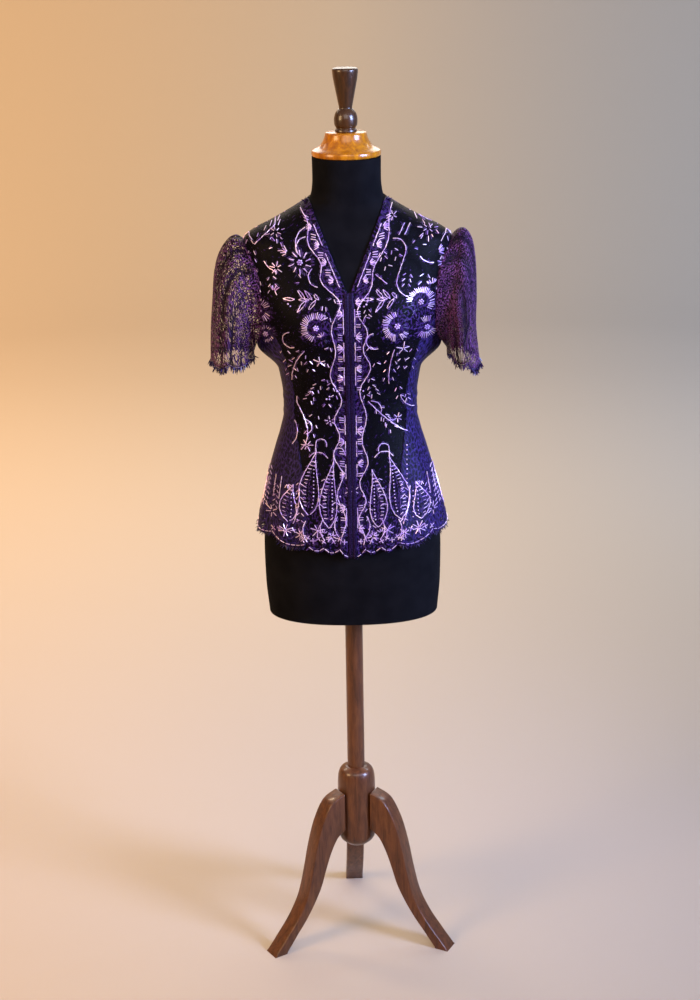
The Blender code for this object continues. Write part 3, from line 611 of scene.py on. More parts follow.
SeamRow = namedtuple("SeamRow", "z front_seam back_seam")
SEAMS = (
    SeamRow(0.780, 40.0, 140.0),
    SeamRow(0.870, 41.0, 138.0),
    SeamRow(0.930, 45.0, 134.0),
    SeamRow(0.990, 54.0, 127.0),
    SeamRow(1.035, 61.0, 122.0),
    SeamRow(1.100, 60.0, 121.0),
    SeamRow(1.160, 60.0, 119.0),
    SeamRow(1.185, 65.0, 115.0),
)
NECK_POINT_Z, NECK_POINT_HALF = 1.262, 0.0035
NECK_TOP_Z, NECK_TOP_HALF = 1.405, 0.0625

Scallop = namedtuple("Scallop", "start cusp drop")
SCALLOPS = (
    Scallop(0.0, 0.797, 0.008),
    Scallop(12.0, 0.809, 0.009),
    Scallop(26.0, 0.811, 0.010),
    Scallop(40.0, 0.816, 0.011),
    Scallop(65.0, 0.828, 0.009),
    Scallop(90.0, 0.832, 0.009),
    Scallop(115.0, 0.826, 0.011),
    Scallop(140.0, 0.816, 0.011),
    Scallop(160.0, 0.811, 0.011),
    Scallop(180.0, 0.808, 0.011),
)
HEM_BASE = 0.800
CROWD_LOW, CROWD_HIGH = 1.210, 1.300
FRONT_CROWD, BACK_CROWD = 0.6, 0.11


def hem_height(phi):
    """The lower edge of the cloth, a row of scallops."""
    degrees = np.degrees(half_turn(phi))
    starts = np.array([row.start for row in SCALLOPS])
    cusps = np.array([row.cusp for row in SCALLOPS])
    drops = np.array([row.drop for row in SCALLOPS])
    i = np.clip(np.searchsorted(starts, degrees) - 1, 0, len(SCALLOPS) - 2)
    share = (degrees - starts[i]) / (starts[i + 1] - starts[i])
    line = mix(cusps[i], cusps[i + 1], share)
    return line - drops[i] * np.clip(np.sin(np.pi * share), 0, 1) ** 0.8


def armhole(turn):
    """Angle and height on the armhole: turn is 0 at its front, a quarter turn at the shoulder."""
    spread = np.where(np.cos(turn) > 0, ARMHOLE_FRONT, ARMHOLE_BACK)
    return np.pi / 2 - spread * np.cos(turn), ARMHOLE_Z + ARMHOLE_HALF_HEIGHT * np.sin(turn)


def seam_curve(name, turn):
    """A side seam, up to where it meets the armhole."""
    phi, z = armhole(turn)
    heights = [row.z for row in SEAMS] + [float(z)]
    return Curve(heights, [math.radians(getattr(row, name)) for row in SEAMS] + [float(phi)])


FRONT_SEAM = seam_curve("front_seam", -PANEL_TURN)
BACK_SEAM = seam_curve("back_seam", np.pi + PANEL_TURN)


def angle_at(x, z, low=0.0, high=np.pi / 2):
    """The angle between low and high at which the cloth lies x to the side."""
    x, z = np.broadcast_arrays(np.asarray(x, float), np.asarray(z, float))
    low, high = np.full(x.shape, low), np.full(x.shape, high)
    rising = high[..., None].ravel()[0] <= np.pi / 2 + 0.01
    for _ in range(26):
        middle = (low + high) / 2
        short = (cloth_point(middle, z, 0.0)[..., 0] < x) == rising
        low, high = np.where(short, middle, low), np.where(short, high, middle)
    return (low + high) / 2


def neck_half(z):
    """Half the width of the neck opening at a height."""
    return mix(NECK_POINT_HALF, NECK_TOP_HALF, (z - NECK_POINT_Z) / (NECK_TOP_Z - NECK_POINT_Z))


def outer_edge(z, seam, spread):
    """Where a front or back panel ends: at the side seam, the armhole or the shoulder seam."""
    reach = np.sqrt(np.clip(1 - ((z - ARMHOLE_Z) / ARMHOLE_HALF_HEIGHT) ** 2, 0, 1))
    above = np.where(z >= ARMHOLE_TOP, np.pi / 2, np.pi / 2 + spread * reach)
    return np.where(z <= SEAM_TOP, seam(z), above)


def margin(phi, z):
    """What a panel's edge keeps from its seam line, as an angle."""
    return SEAM_MARGIN / np.linalg.norm(form_point(phi, z)[..., :2], axis=-1)


# %% [markdown]
# ## The panels
#
# Two fronts, two sides and a back. Each takes its rows from hem to shoulder and its columns from one
# seam to the next, so the edges of neighbours meet a hair apart, as two sewn edges do. The cover
# attribute is painted here too: high along the neck edge, down the centre front, at the hem and under
# the flowers, where the real net is closed by close embroidery.

# %% The panels' grids
FRONT_COLUMNS, SIDE_COLUMNS, BACK_COLUMNS = 60, 60, 112
LOW_ROWS, ARM_ROWS, SHOULDER_ROWS = 110, 36, 16


def upper_heights():
    """Row heights from the top of the side seams to the neck."""
    turns = np.linspace(-PANEL_TURN, np.pi / 2, ARM_ROWS)[1:]
    shoulder = np.linspace(ARMHOLE_TOP, NECK_TOP_Z, SHOULDER_ROWS)[1:]
    return np.concatenate((armhole(turns)[1], shoulder))


def heights(hem_phi, top, upper=()):
    """All the row heights of a panel, the lowest on the hem."""
    up = np.linspace(0, 1, LOW_ROWS)[:, None]
    low = mix(hem_height(hem_phi), top, up)
    high = np.asarray(upper)[:, None] * np.ones_like(hem_phi)
    return np.vstack((low, high)) if len(upper) else low


def front_grid(side):
    """Angles and heights of a front: side is 1 for the wearer's left, -1 for the right."""
    share = np.linspace(0, 1, FRONT_COLUMNS)
    z = heights(share * FRONT_SEAM(HEM_BASE), SEAM_TOP, upper_heights())
    opening = angle_at(neck_half(np.maximum(z, NECK_POINT_Z)), z)
    inner = np.where(z >= NECK_POINT_Z, opening, 0.0)
    outer = outer_edge(z, FRONT_SEAM, -ARMHOLE_FRONT)
    gap = margin(outer, z)
    crowd = FRONT_CROWD * smoothstep(CROWD_LOW, CROWD_HIGH, z)
    at = mix(share, 1 - (1 - share) ** 2, crowd)
    phi = mix(inner + gap, outer - gap, at)
    return (phi, z) if side > 0 else (-phi[:, ::-1], z[:, ::-1])


def side_grid(side):
    """Angles and heights of a side panel."""
    share = np.linspace(0, 1, SIDE_COLUMNS)
    top_phi, top_z = armhole(-mix(PANEL_TURN, np.pi - PANEL_TURN, share))
    z = heights(mix(FRONT_SEAM(HEM_BASE), BACK_SEAM(HEM_BASE), share), top_z)
    drift = top_phi - mix(FRONT_SEAM(top_z), BACK_SEAM(top_z), share)
    up = np.maximum((z - HEM_BASE) / (top_z - HEM_BASE), 0)
    phi = mix(FRONT_SEAM(z), BACK_SEAM(z), share) + drift * up ** 8
    phi = phi + margin(phi, z) * (1 - 2 * share)
    return (phi, z) if side > 0 else (-phi[:, ::-1], z[:, ::-1])


def back_grid():
    """Angles and heights of the back."""
    share = np.linspace(0, 1, BACK_COLUMNS)
    edge = BACK_SEAM(HEM_BASE)
    z = heights(mix(edge, 2 * np.pi - edge, share), SEAM_TOP, upper_heights())
    start = outer_edge(z, BACK_SEAM, ARMHOLE_BACK)
    start = start + margin(start, z)
    crowd = BACK_CROWD * smoothstep(CROWD_LOW, CROWD_HIGH, z)
    at = share - crowd * np.sin(2 * np.pi * share)
    return mix(start, 2 * np.pi - start, at), z


# %% [markdown]
# ## The layout of the embroidery
#
# The design is of a common kind for such blouses: a waving vine follows the neck and centre front,
# ring flowers and palm sprays fill the chest, and tall paisleys rise from the hem. The layout follows
# the photograph's, mostly rounded to 5 mm, and every motif is drawn by a rule of its own from a
# place and a few sizes in millimetres: x is the distance from the centre front, z the height.

# %% Where the vine and the flowers are
VineRow = namedtuple("VineRow", "z reach")
VINE_LINE = column((
    VineRow(815, 15), VineRow(930, 20), VineRow(1000, 25), VineRow(1060, 20), VineRow(1150, 30),
    VineRow(1240, 20), VineRow(1290, 45), VineRow(1340, 60), VineRow(1396, 80),
), "reach")
VINE_SWING, VINE_PITCH, VINE_START = 6.0, 75.0, 1215
VINE_DRIFT, VINE_DRIFT_LENGTH = 10, 50.0


def vine_reach(side, z):
    """How far the vine stands from the centre front: a wave along its line, a little uneven."""
    drifted = z + VINE_DRIFT * np.sin(z / VINE_DRIFT_LENGTH + side)
    return VINE_LINE(z) + VINE_SWING * np.sin(2 * np.pi * (VINE_START - drifted) / VINE_PITCH)


Flower = namedtuple("Flower", "side x z outer inner arcs")
FLOWERS = (
    Flower(-1, 55, 1205, 25, 15, ((-80, 130, 25),)),
    Flower(-1, 150, 1225, 20, 10, ((20, 150, 11), (190, 250, 4))),
    Flower(-1, 140, 1185, 15, 10, ((-30, 130, 10), (200, 280, 5))),
    Flower(1, 80, 1205, 25, 15, ((90, 260, 22), (280, 320, 5))),
    Flower(1, 120, 1240, 25, 15, ((10, 170, 20), (-50, 0, 5))),
    Flower(1, 130, 1195, 20, 10, ((60, 120, 6), (210, 340, 11))),
)


NET_COVER, BORDER_COVER, FLOWER_COVER = 0.03, 0.38, 0.45
HEM_COVER, BACK_EDGE_COVER = 0.27, 0.50


def front_cover(phi, z, side):
    """How far the embroidery closes a front's net."""
    x, height = np.abs(cloth_point(phi, z, np.zeros(phi.shape))[..., 0]) * 1000, z * 1000
    cover = BORDER_COVER * (1 - smoothstep(-3, 5, x - vine_reach(side, height)))
    for flower in FLOWERS:
        if flower.side == side:
            away = np.hypot(x - flower.x, height - flower.z) / (flower.outer * 1.2)
            cover = np.maximum(cover, FLOWER_COVER * bell(away ** 2))
    hem = 1 - smoothstep(0.900, 0.965, z)
    return np.maximum(cover, HEM_COVER * hem) + NET_COVER


def back_cover(phi, z):
    """The back is plain net above a border of embroidery at the hem."""
    hem = 1 - smoothstep(0.860, 0.945, z)
    neck = smoothstep(1.380, 1.398, z)
    return BACK_EDGE_COVER * np.maximum(hem, neck) + NET_COVER


# %% The five panels as cloth
def panel(name, node, grid, material, slot, cover=None):
    """A panel of cloth that stands for its solid."""
    phi, z = grid
    attributes = {} if cover is None else {"cover": cover}
    mesh = grid_mesh(name, cloth_point(phi, z, np.full(phi.shape, WALL)), **attributes)
    piece = hand_in(name, mesh, material, slot, node)
    give_wall(piece)
    return piece


SIDES = (("left", 1), ("right", -1))
for hand, side in SIDES:
    grid = front_grid(side)
    panel(f"net_front_{hand}", f"front_{hand}", grid, NET, "embroidered_net",
          front_cover(*grid, side))
    panel(f"lace_side_{hand}", f"side_{hand}", side_grid(side), SIDE_LACE, "side_lace")
grid = back_grid()
panel("net_back", "back", grid, NET, "embroidered_net", back_cover(*grid))
print("panels:", ", ".join(PIECES))

# %% [markdown]
# ## The edge strips
#
# A narrow braid is sewn on each centre-front edge, where the fronts meet. It is the front's own
# surface again, moved out by one thickness of cloth.

# %% The edge strips
STRIP_WIDTH = 0.0075
STRIP_LIFT = 0.0015
STRIP_COLUMNS, STRIP_ROWS = 6, 150
for hand, side in SIDES:
    up = np.linspace(0, 1, STRIP_ROWS)[:, None]
    z = mix(hem_height(np.zeros(1)), NECK_POINT_Z - 0.002, up) * np.ones(STRIP_COLUMNS)
    radius = np.abs(cloth_point(np.zeros_like(z), z, np.zeros(z.shape))[..., 1])
    picot = 1 + 0.05 * np.abs(np.sin(z * np.pi / 0.0045))
    far = STRIP_WIDTH * picot / radius
    phi = mix(margin(np.zeros_like(z), z), far, np.linspace(0, 1, STRIP_COLUMNS))
    if side < 0:
        phi = -phi[:, ::-1]
    dome = 0.0003 * np.sin(np.pi * np.linspace(0, 1, STRIP_COLUMNS)) * np.ones_like(z)
    mesh = grid_mesh(f"braid_{hand}", cloth_point(phi, z, WALL + STRIP_LIFT + dome))
    piece = hand_in(f"braid_{hand}", mesh, BRAID, "edge_lace", f"edge_strip_{hand}")
    give_wall(piece, 0.0010)
print("pieces:", len(PIECES))

# %% [markdown]
# ## The sleeves
#
# A short puffed sleeve is a tube: its top is gathered into the armhole, it rises over the shoulder
# and falls to a scalloped cuff. Rings from armhole to cuff give its line, soft folds run down from
# the gathers, and small ones crowd at the head.

# %% The sleeves' rings and folds
SleeveRing = namedtuple("SleeveRing", "outer_x outer_z inner_x inner_z half_depth")
SLEEVE_LEFT = (
    SleeveRing(0.1880, 1.3500, 0.1600, 1.1560, 0.0610),
    SleeveRing(0.2010, 1.3515, 0.1610, 1.1535, 0.0660),
    SleeveRing(0.2125, 1.3340, 0.1625, 1.1510, 0.0710),
    SleeveRing(0.2185, 1.2970, 0.1640, 1.1490, 0.0730),
    SleeveRing(0.2205, 1.2400, 0.1660, 1.1465, 0.0760),
    SleeveRing(0.2200, 1.1800, 0.1680, 1.1440, 0.0770),
    SleeveRing(0.2270, 1.1220, 0.1700, 1.1410, 0.0780),
)
SLEEVE_RIGHT = (
    SleeveRing(0.1900, 1.3460, 0.1600, 1.1560, 0.0600),
    SleeveRing(0.2040, 1.3400, 0.1610, 1.1530, 0.0650),
    SleeveRing(0.2205, 1.3160, 0.1620, 1.1500, 0.0700),
    SleeveRing(0.2300, 1.2820, 0.1630, 1.1470, 0.0740),
    SleeveRing(0.2345, 1.2360, 0.1640, 1.1440, 0.0770),
    SleeveRing(0.2390, 1.1850, 0.1650, 1.1410, 0.0780),
    SleeveRing(0.2415, 1.1340, 0.1660, 1.1370, 0.0790),
)
Fold = namedtuple("Fold", "angle spread depth ring reach")
FOLDS_LEFT = (
    Fold(-62, 10, 0.0030, 5.0, 3.0),
    Fold(-28, 11, 0.0045, 5.0, 3.5),
    Fold(8, 13, 0.0060, 3.5, 3.5),
    Fold(38, 10, 0.0070, 2.5, 2.8),
    Fold(66, 9, 0.0085, 2.6, 2.6),
    Fold(92, 8, 0.0040, 1.6, 1.8),
    Fold(118, 10, 0.0060, 2.8, 2.8),
    Fold(150, 12, 0.0060, 3.6, 3.4),
    Fold(186, 12, 0.0050, 4.6, 3.4),
    Fold(222, 11, 0.0040, 5.2, 3.2),
    Fold(-8, 4, 0.0018, 5.5, 2.4),
    Fold(22, 4, 0.0022, 4.5, 2.6),
    Fold(52, 4, 0.0024, 3.5, 2.2),
    Fold(79, 3, 0.0026, 1.6, 1.2),
    Fold(103, 3, 0.0026, 1.7, 1.3),
    Fold(134, 4, 0.0020, 3.0, 2.0),
)
FOLDS_RIGHT = (
    Fold(-60, 10, 0.0035, 5.0, 3.2),
    Fold(-30, 9, 0.0050, 5.2, 3.6),
    Fold(-2, 10, 0.0060, 4.4, 3.8),
    Fold(27, 9, 0.0065, 3.6, 3.6),
    Fold(54, 9, 0.0060, 3.0, 3.2),
    Fold(82, 8, 0.0045, 1.8, 2.0),
    Fold(108, 9, 0.0050, 2.4, 2.6),
    Fold(140, 12, 0.0060, 3.4, 3.4),
    Fold(176, 12, 0.0055, 4.4, 3.4),
    Fold(214, 11, 0.0045, 5.2, 3.2),
    Fold(-15, 4, 0.0018, 5.2, 2.4),
    Fold(13, 4, 0.0022, 4.4, 2.6),
    Fold(41, 4, 0.0022, 3.4, 2.2),
    Fold(68, 3, 0.0026, 1.8, 1.3),
    Fold(95, 3, 0.0024, 1.6, 1.2),
    Fold(124, 4, 0.0020, 2.8, 2.0),
)
SLEEVE_COLUMNS, SLEEVE_STEPS = 140, 9
SLEEVE_ROOT_RISE, SLEEVE_ROOT_GAP = 0.0024, 0.0006
CUFF_SCALLOPS, CUFF_DROP = 6, 0.007


def armhole_ring(turn, out, inset):
    """The sleeve's root, just inside the armhole's edge."""
    phi, z = armhole(turn)
    point = cloth_point(phi, z, np.full(turn.shape, out))
    centre = cloth_point(np.array([np.pi / 2]), np.array([ARMHOLE_Z]), np.array([out]))[0]
    inward = (centre - point) * (0, 1, 1)
    return point + unit(inward) * inset


def fold_depth(folds, turn, ring):
    """How far the folds draw the sleeve in."""
    depth = 0.0
    for fold in folds:
        away = (turn - np.radians(fold.angle) + np.pi) % (2 * np.pi) - np.pi
        along = bell((ring - fold.ring) / fold.reach)
        depth = depth + fold.depth * bell(away / np.radians(fold.spread)) * along
    return depth


def sleeve_grid(table, folds):
    """The sleeve's outer points on the wearer's left, from armhole to cuff."""
    turn = np.linspace(0, 2 * np.pi, SLEEVE_COLUMNS, endpoint=False)
    knots = [armhole_ring(turn, 0.0, SLEEVE_ROOT_GAP),
             armhole_ring(turn, WALL + SLEEVE_ROOT_RISE, SLEEVE_ROOT_GAP)]
    for row in table:
        outer = np.array((row.outer_x, 0, row.outer_z))
        inner = np.array((row.inner_x, 0, row.inner_z))
        arm = (outer - inner) / 2
        knots.append((outer + inner) / 2 + arm * np.sin(turn)[:, None]
                     + np.array((0, -row.half_depth, 0)) * np.cos(turn)[:, None])
    knots = np.stack(knots)
    below = np.linspace(1, len(knots) - 1, SLEEVE_STEPS * (len(knots) - 2) + 1)
    steps = np.concatenate(([0.0], below))
    base = np.stack([blend_knots(knots, step) for step in steps])
    centre = base.mean(axis=1, keepdims=True)
    spoke = unit(base - centre)
    ring = (steps - 1)[:, None]
    depth = fold_depth(folds, turn[None, :], ring) * smoothstep(0.0, 0.8, ring)
    last = smoothstep(len(table) - 1.0, len(table), ring)
    points = base - spoke * depth[..., None]
    points[..., 2] -= CUFF_DROP * np.abs(np.sin(turn * CUFF_SCALLOPS / 2)) * last
    shallow, deep = depth.min(axis=1, keepdims=True), depth.max(axis=1, keepdims=True)
    # The last part is how deep each point lies in the folds, from 0 to 1: it closes the lace and paints
    # shade in the troughs.
    return points, ring / len(table), (depth - shallow) / np.maximum(deep - shallow, 0.0005)


def blend_knots(knots, step, straight=True):
    """A smooth curve through the knots, at a fractional step; its start may be kept straight."""
    i = min(int(step), len(knots) - 2)
    t = step - i
    before, start, end = knots[max(i - 1, 0)], knots[i], knots[i + 1]
    after = knots[min(i + 2, len(knots) - 1)]
    leave, arrive = (end - before) / 2, (after - start) / 2
    if straight and i <= 1:
        leave = end - start
    t2, t3 = t * t, t * t * t
    return ((2 * t3 - 3 * t2 + 1) * start + (t3 - 2 * t2 + t) * leave
            + (3 * t2 - 2 * t3) * end + (t3 - t2) * arrive)


CUFFS = {}
for hand, side, table, folds in (("left", 1, SLEEVE_LEFT, FOLDS_LEFT),
                                 ("right", -1, SLEEVE_RIGHT, FOLDS_RIGHT)):
    points, down, trough = sleeve_grid(table, folds)
    if side < 0:
        points = points * (-1, 1, 1)
    else:
        points, trough = points[:, ::-1], trough[:, ::-1]
    edge = 0.8 * smoothstep(0.95, 0.99, down) + 1 - smoothstep(0.0, 0.05, down)
    close = 0.55 * (1 - smoothstep(0.72, 0.90, down)) if side > 0 else 0.0
    # trough closes the lace in the troughs of the folds and carries the painted shade there.
    mesh = grid_mesh(f"lace_sleeve_{hand}", points, closed=True, trough=trough,
                     cover=np.clip(edge + close, 0, 1) * np.ones(points.shape[:2]))
    piece = hand_in(f"lace_sleeve_{hand}", mesh, SLEEVE_LACE, "sleeve_lace", f"sleeve_{hand}")
    give_wall(piece)
    CUFFS[hand] = points[-1], unit(points[-1] - points[-3])
print("sleeves of", SLEEVE_COLUMNS, "columns each")

# %% [markdown]
# ## The dress form and its stand
#
# The torso is the same surface without the cloth, closed at both ends. The cap, the finial and the
# hub are turned on a lathe, which is a profile with a Screw modifier, and the legs are sawn boards:
# a flat outline with an extrude and softened edges.

# %% The torso
FORM_COLUMNS, FORM_ROWS = 144, 200


def close_ends(mesh):
    """Caps on the open ends of a tube of cloth or wood."""
    shape = bmesh.new()
    shape.from_mesh(mesh)
    bmesh.ops.holes_fill(shape, edges=[edge for edge in shape.edges if edge.is_boundary], sides=0)
    bmesh.ops.recalc_face_normals(shape, faces=shape.faces)
    shape.to_mesh(mesh)
    shape.free()
    mesh.shade_smooth()
    mesh.set_sharp_from_angle(angle=math.radians(40))


turns = np.linspace(0, 2 * np.pi, FORM_COLUMNS, endpoint=False)[None, :]
levels = np.linspace(FORM_BOTTOM, FORM_TOP, FORM_ROWS)[:, None]
torso = grid_mesh("torso_cover", form_point(turns, levels), closed=True)
close_ends(torso)
hand_in("torso_cover", torso, JERSEY, "jersey", "form_torso")

# %% The turned cap, finial, hub and pole
Turning = namedtuple("Turning", "radius z")
NECK_CAP = (
    Turning(0.0330, 1.5150), Turning(0.0345, 1.5135), Turning(0.0365, 1.5060),
    Turning(0.0410, 1.4970), Turning(0.0480, 1.4900), Turning(0.0550, 1.4865),
    Turning(0.0580, 1.4845), Turning(0.0588, 1.4805), Turning(0.0580, 1.4765),
    Turning(0.0560, 1.4753),
)
FINIAL = (
    Turning(0.0190, 1.6200), Turning(0.0210, 1.6185), Turning(0.0217, 1.6155),
    Turning(0.0206, 1.6050), Turning(0.0165, 1.5830), Turning(0.0128, 1.5640),
    Turning(0.0110, 1.5545), Turning(0.0135, 1.5515), Turning(0.0178, 1.5450),
    Turning(0.0198, 1.5360), Turning(0.0192, 1.5270), Turning(0.0162, 1.5215),
    Turning(0.0182, 1.5190), Turning(0.0186, 1.5165), Turning(0.0180, 1.5153),
)
HUB = (
    Turning(0.0200, 0.3400), Turning(0.0300, 0.3330), Turning(0.0340, 0.3200),
    Turning(0.0350, 0.3000), Turning(0.0350, 0.2050), Turning(0.0320, 0.1920),
    Turning(0.0200, 0.1800),
)
POLE = (Turning(0.0160, 0.6597), Turning(0.0160, 0.3403))
LATHE_STEPS, PROFILE_STEPS = 72, 4


def turned(name, profile, material, node):
    """A piece turned on a lathe, its profile rounded between the rows."""
    count = (len(profile) - 1) * PROFILE_STEPS + 1 if len(profile) > 2 else 2
    steps = np.linspace(0, len(profile) - 1, count)
    radius = Curve(range(len(profile)), [row.radius for row in profile])(steps)
    height = Curve(range(len(profile)), [row.z for row in profile])(steps)
    points = [(0, 0, height[0])] + list(zip(radius, np.zeros(count), height)) + [(0, 0, height[-1])]
    mesh = bpy.data.meshes.new(name)
    mesh.from_pydata([tuple(map(float, point)) for point in points],
                     [(k, k + 1) for k in range(len(points) - 1)], [])
    thing = bpy.data.objects.new(name, mesh)
    bpy.context.scene.collection.objects.link(thing)
    lathe = thing.modifiers.new("lathe", "SCREW")
    lathe.steps = lathe.render_steps = LATHE_STEPS
    lathe.use_merge_vertices = True
    lathe.merge_threshold = 0.00001
    turned_mesh = bpy.data.meshes.new_from_object(
        thing.evaluated_get(bpy.context.evaluated_depsgraph_get()))
    bpy.data.objects.remove(thing)
    turned_mesh.transform(Matrix.Translation(AXIS))
    turned_mesh.name = name
    turned_mesh.shade_smooth()
    turned_mesh.set_sharp_from_angle(angle=math.radians(48))
    return hand_in(name, turned_mesh, material, "lacquered_wood", node)


turned("turned_cap", NECK_CAP, CAP_WOOD, "neck_cap")
turned("turned_finial", FINIAL, FINIAL_WOOD, "finial")
turned("turned_hub", HUB, LEG_WOOD, "hub")
turned("turned_pole", POLE, LEG_WOOD, "pole")

# %% The sawn legs
LegRow = namedtuple("LegRow", "upper_radius upper_z lower_radius lower_z")
LEG = (
    LegRow(0.0353, 0.2950, 0.0353, 0.2200),
    LegRow(0.0620, 0.2840, 0.0520, 0.2080),
    LegRow(0.0860, 0.2450, 0.0680, 0.1800),
    LegRow(0.1010, 0.1960, 0.0800, 0.1480),
    LegRow(0.1110, 0.1500, 0.0900, 0.1180),
    LegRow(0.1240, 0.1020, 0.1040, 0.0900),
    LegRow(0.1440, 0.0640, 0.1240, 0.0590),
    LegRow(0.1680, 0.0330, 0.1470, 0.0300),
    LegRow(0.1960, 0.0000, 0.1700, 0.0000),
)
LEG_THICKNESS, LEG_TURN = 0.033, math.radians(2.3)
LEG_STEPS, LEG_EDGE = 8, 0.0022


def leg(name, azimuth, node):
    """A sawn leg with softened edges, turned about the stand's axis."""
    steps = np.linspace(0, len(LEG) - 1, (len(LEG) - 1) * LEG_STEPS + 1)
    sides = [Curve(range(len(LEG)), [row[k] for row in LEG])(steps) for k in range(4)]
    outline = list(zip(sides[0], sides[1])) + list(zip(sides[2], sides[3]))[::-1]
    shape = bmesh.new()
    front = [shape.verts.new((float(r), -LEG_THICKNESS / 2, float(z))) for r, z in outline]
    face = shape.faces.new(front)
    grown = bmesh.ops.extrude_face_region(shape, geom=[face])["geom"]
    for vert in grown:
        if isinstance(vert, bmesh.types.BMVert):
            vert.co.y += LEG_THICKNESS
    bmesh.ops.recalc_face_normals(shape, faces=shape.faces)
    rims = [edge for edge in shape.edges if edge.is_manifold and edge.calc_face_angle(0) > 1.2
            and min(vert.co.z for vert in edge.verts) > 1e-4]
    bmesh.ops.bevel(shape, geom=rims, offset=LEG_EDGE, segments=3, affect="EDGES", profile=0.5)
    mesh = bpy.data.meshes.new(name)
    shape.to_mesh(mesh)
    shape.free()
    mesh.transform(Matrix.Translation(AXIS) @ Matrix.Rotation(azimuth - math.pi / 2, 4, "Z"))
    mesh.shade_smooth()
    mesh.set_sharp_from_angle(angle=math.radians(35))
    return hand_in(name, mesh, LEG_WOOD, "lacquered_wood", node)


leg("sawn_leg_left", math.radians(60) + LEG_TURN, "leg_front_left")
leg("sawn_leg_right", math.radians(-60) + LEG_TURN, "leg_front_right")
leg("sawn_leg_back", math.pi + LEG_TURN, "leg_back")
print("pieces:", len(PIECES))

# %% [markdown]
# ## Sewing things on: one node tree for beads, stitches and lashes
#
# Everything that is sewn on repeats a small shape hundreds of times. The places are worked out as a
# cloud of points, each with an aim, an up direction, a size and a tint, and one Geometry Nodes tree
# sets the shape on every point. The instances are realized, because only real faces are exported.

# %% The small shapes
def small_mesh(name, rings, sides):
    """A low shape along X: each ring has its place, half width, half height and lift."""
    shape = bmesh.new()
    loops = []
    for x, width, height, lift in rings:
        loops.append([shape.verts.new((x, width * math.cos(a), lift + height * math.sin(a)))
                      for a in (2 * math.pi * k / sides for k in range(sides))])
    for low, high in zip(loops, loops[1:]):
        for k in range(sides):
            shape.faces.new((low[k], low[(k + 1) % sides], high[(k + 1) % sides], high[k]))
    shape.faces.new(loops[0])
    shape.faces.new(loops[-1])
    bmesh.ops.recalc_face_normals(shape, faces=shape.faces)
    mesh = bpy.data.meshes.new(name)
    shape.to_mesh(mesh)
    shape.free()
    mesh.shade_smooth()
    mesh.set_sharp_from_angle(angle=math.radians(50))
    thing = bpy.data.objects.new(name, mesh)
    bpy.context.scene.collection.objects.link(thing)
    return thing


BUGLE = small_mesh("bugle", ((-0.5, 0.36, 0.36, 0), (-0.44, 0.5, 0.5, 0), (0.44, 0.5, 0.5, 0),
                             (0.5, 0.36, 0.36, 0)), 6)
SEED = small_mesh("seed", ((-0.42, 0.24, 0.24, 0), (-0.2, 0.48, 0.48, 0), (0.2, 0.48, 0.48, 0),
                           (0.42, 0.24, 0.24, 0)), 6)
STITCH = small_mesh("stitch", ((-0.5, 0.06, 0.1, 0), (-0.2, 0.5, 0.5, 0), (0.25, 0.42, 0.5, 0),
                               (0.5, 0.05, 0.1, 0)), 5)
LASH = small_mesh("lash", ((0, 0.5, 0.5, 0), (0.35, 0.42, 0.42, 0.05), (0.7, 0.3, 0.3, 0.16),
                           (1.0, 0.08, 0.08, 0.30)), 3)
print("small shapes:", ", ".join(thing.name for thing in (BUGLE, SEED, STITCH, LASH)))

# %% The tree that sews them on
def sewing_tree():
    """Points in, sewn shapes out."""
    tree = bpy.data.node_groups.new("sewn_on", "GeometryNodeTree")
    face = tree.interface
    face.new_socket(name="Geometry", in_out="OUTPUT", socket_type="NodeSocketGeometry")
    for name, kind in (("Geometry", "Geometry"), ("Shape", "Object"), ("Finish", "Material"),
                       ("Unevenness", "Float"), ("Seed", "Int")):
        face.new_socket(name=name, in_out="INPUT", socket_type="NodeSocket" + kind)
    given = tree.nodes.new("NodeGroupInput").outputs
    named = {}
    for name in ("aim", "up", "size"):
        read = add(tree, "GeometryNodeInputNamedAttribute", {"data_type": "FLOAT_VECTOR"}, Name=name)
        named[name] = read.outputs["Attribute"]
    turn = add(tree, "FunctionNodeAxesToRotation", {"primary_axis": "X", "secondary_axis": "Z"},
               Primary_Axis=named["aim"], Secondary_Axis=named["up"])
    low = add(tree, "ShaderNodeMath", {"operation": "SUBTRACT"}, _0=1.0, _1=given["Unevenness"])
    high = add(tree, "ShaderNodeMath", {"operation": "ADD"}, _0=1.0, _1=given["Unevenness"])
    chance = add(tree, "FunctionNodeRandomValue", {"data_type": "FLOAT"})
    tree.links.new(low.outputs[0], chance.inputs[2])
    tree.links.new(high.outputs[0], chance.inputs[3])
    tree.links.new(given["Seed"], chance.inputs["Seed"])
    scale = add(tree, "ShaderNodeVectorMath", {"operation": "SCALE"}, Vector=named["size"],
                Scale=chance.outputs[1])
    shape = add(tree, "GeometryNodeObjectInfo", Object=given["Shape"])
    sewn = add(tree, "GeometryNodeInstanceOnPoints", Points=given["Geometry"],
               Instance=shape.outputs["Geometry"], Rotation=turn.outputs[0],
               Scale=scale.outputs["Vector"])
    real = add(tree, "GeometryNodeRealizeInstances", Geometry=sewn.outputs[0])
    dyed = add(tree, "GeometryNodeSetMaterial", Geometry=real.outputs[0], Material=given["Finish"])
    out = tree.nodes.new("NodeGroupOutput")
    tree.links.new(dyed.outputs[0], out.inputs[0])
    return tree


SEWING = sewing_tree()
INPUTS = {item.name: item.identifier for item in SEWING.interface.items_tree
          if item.in_out == "INPUT"}


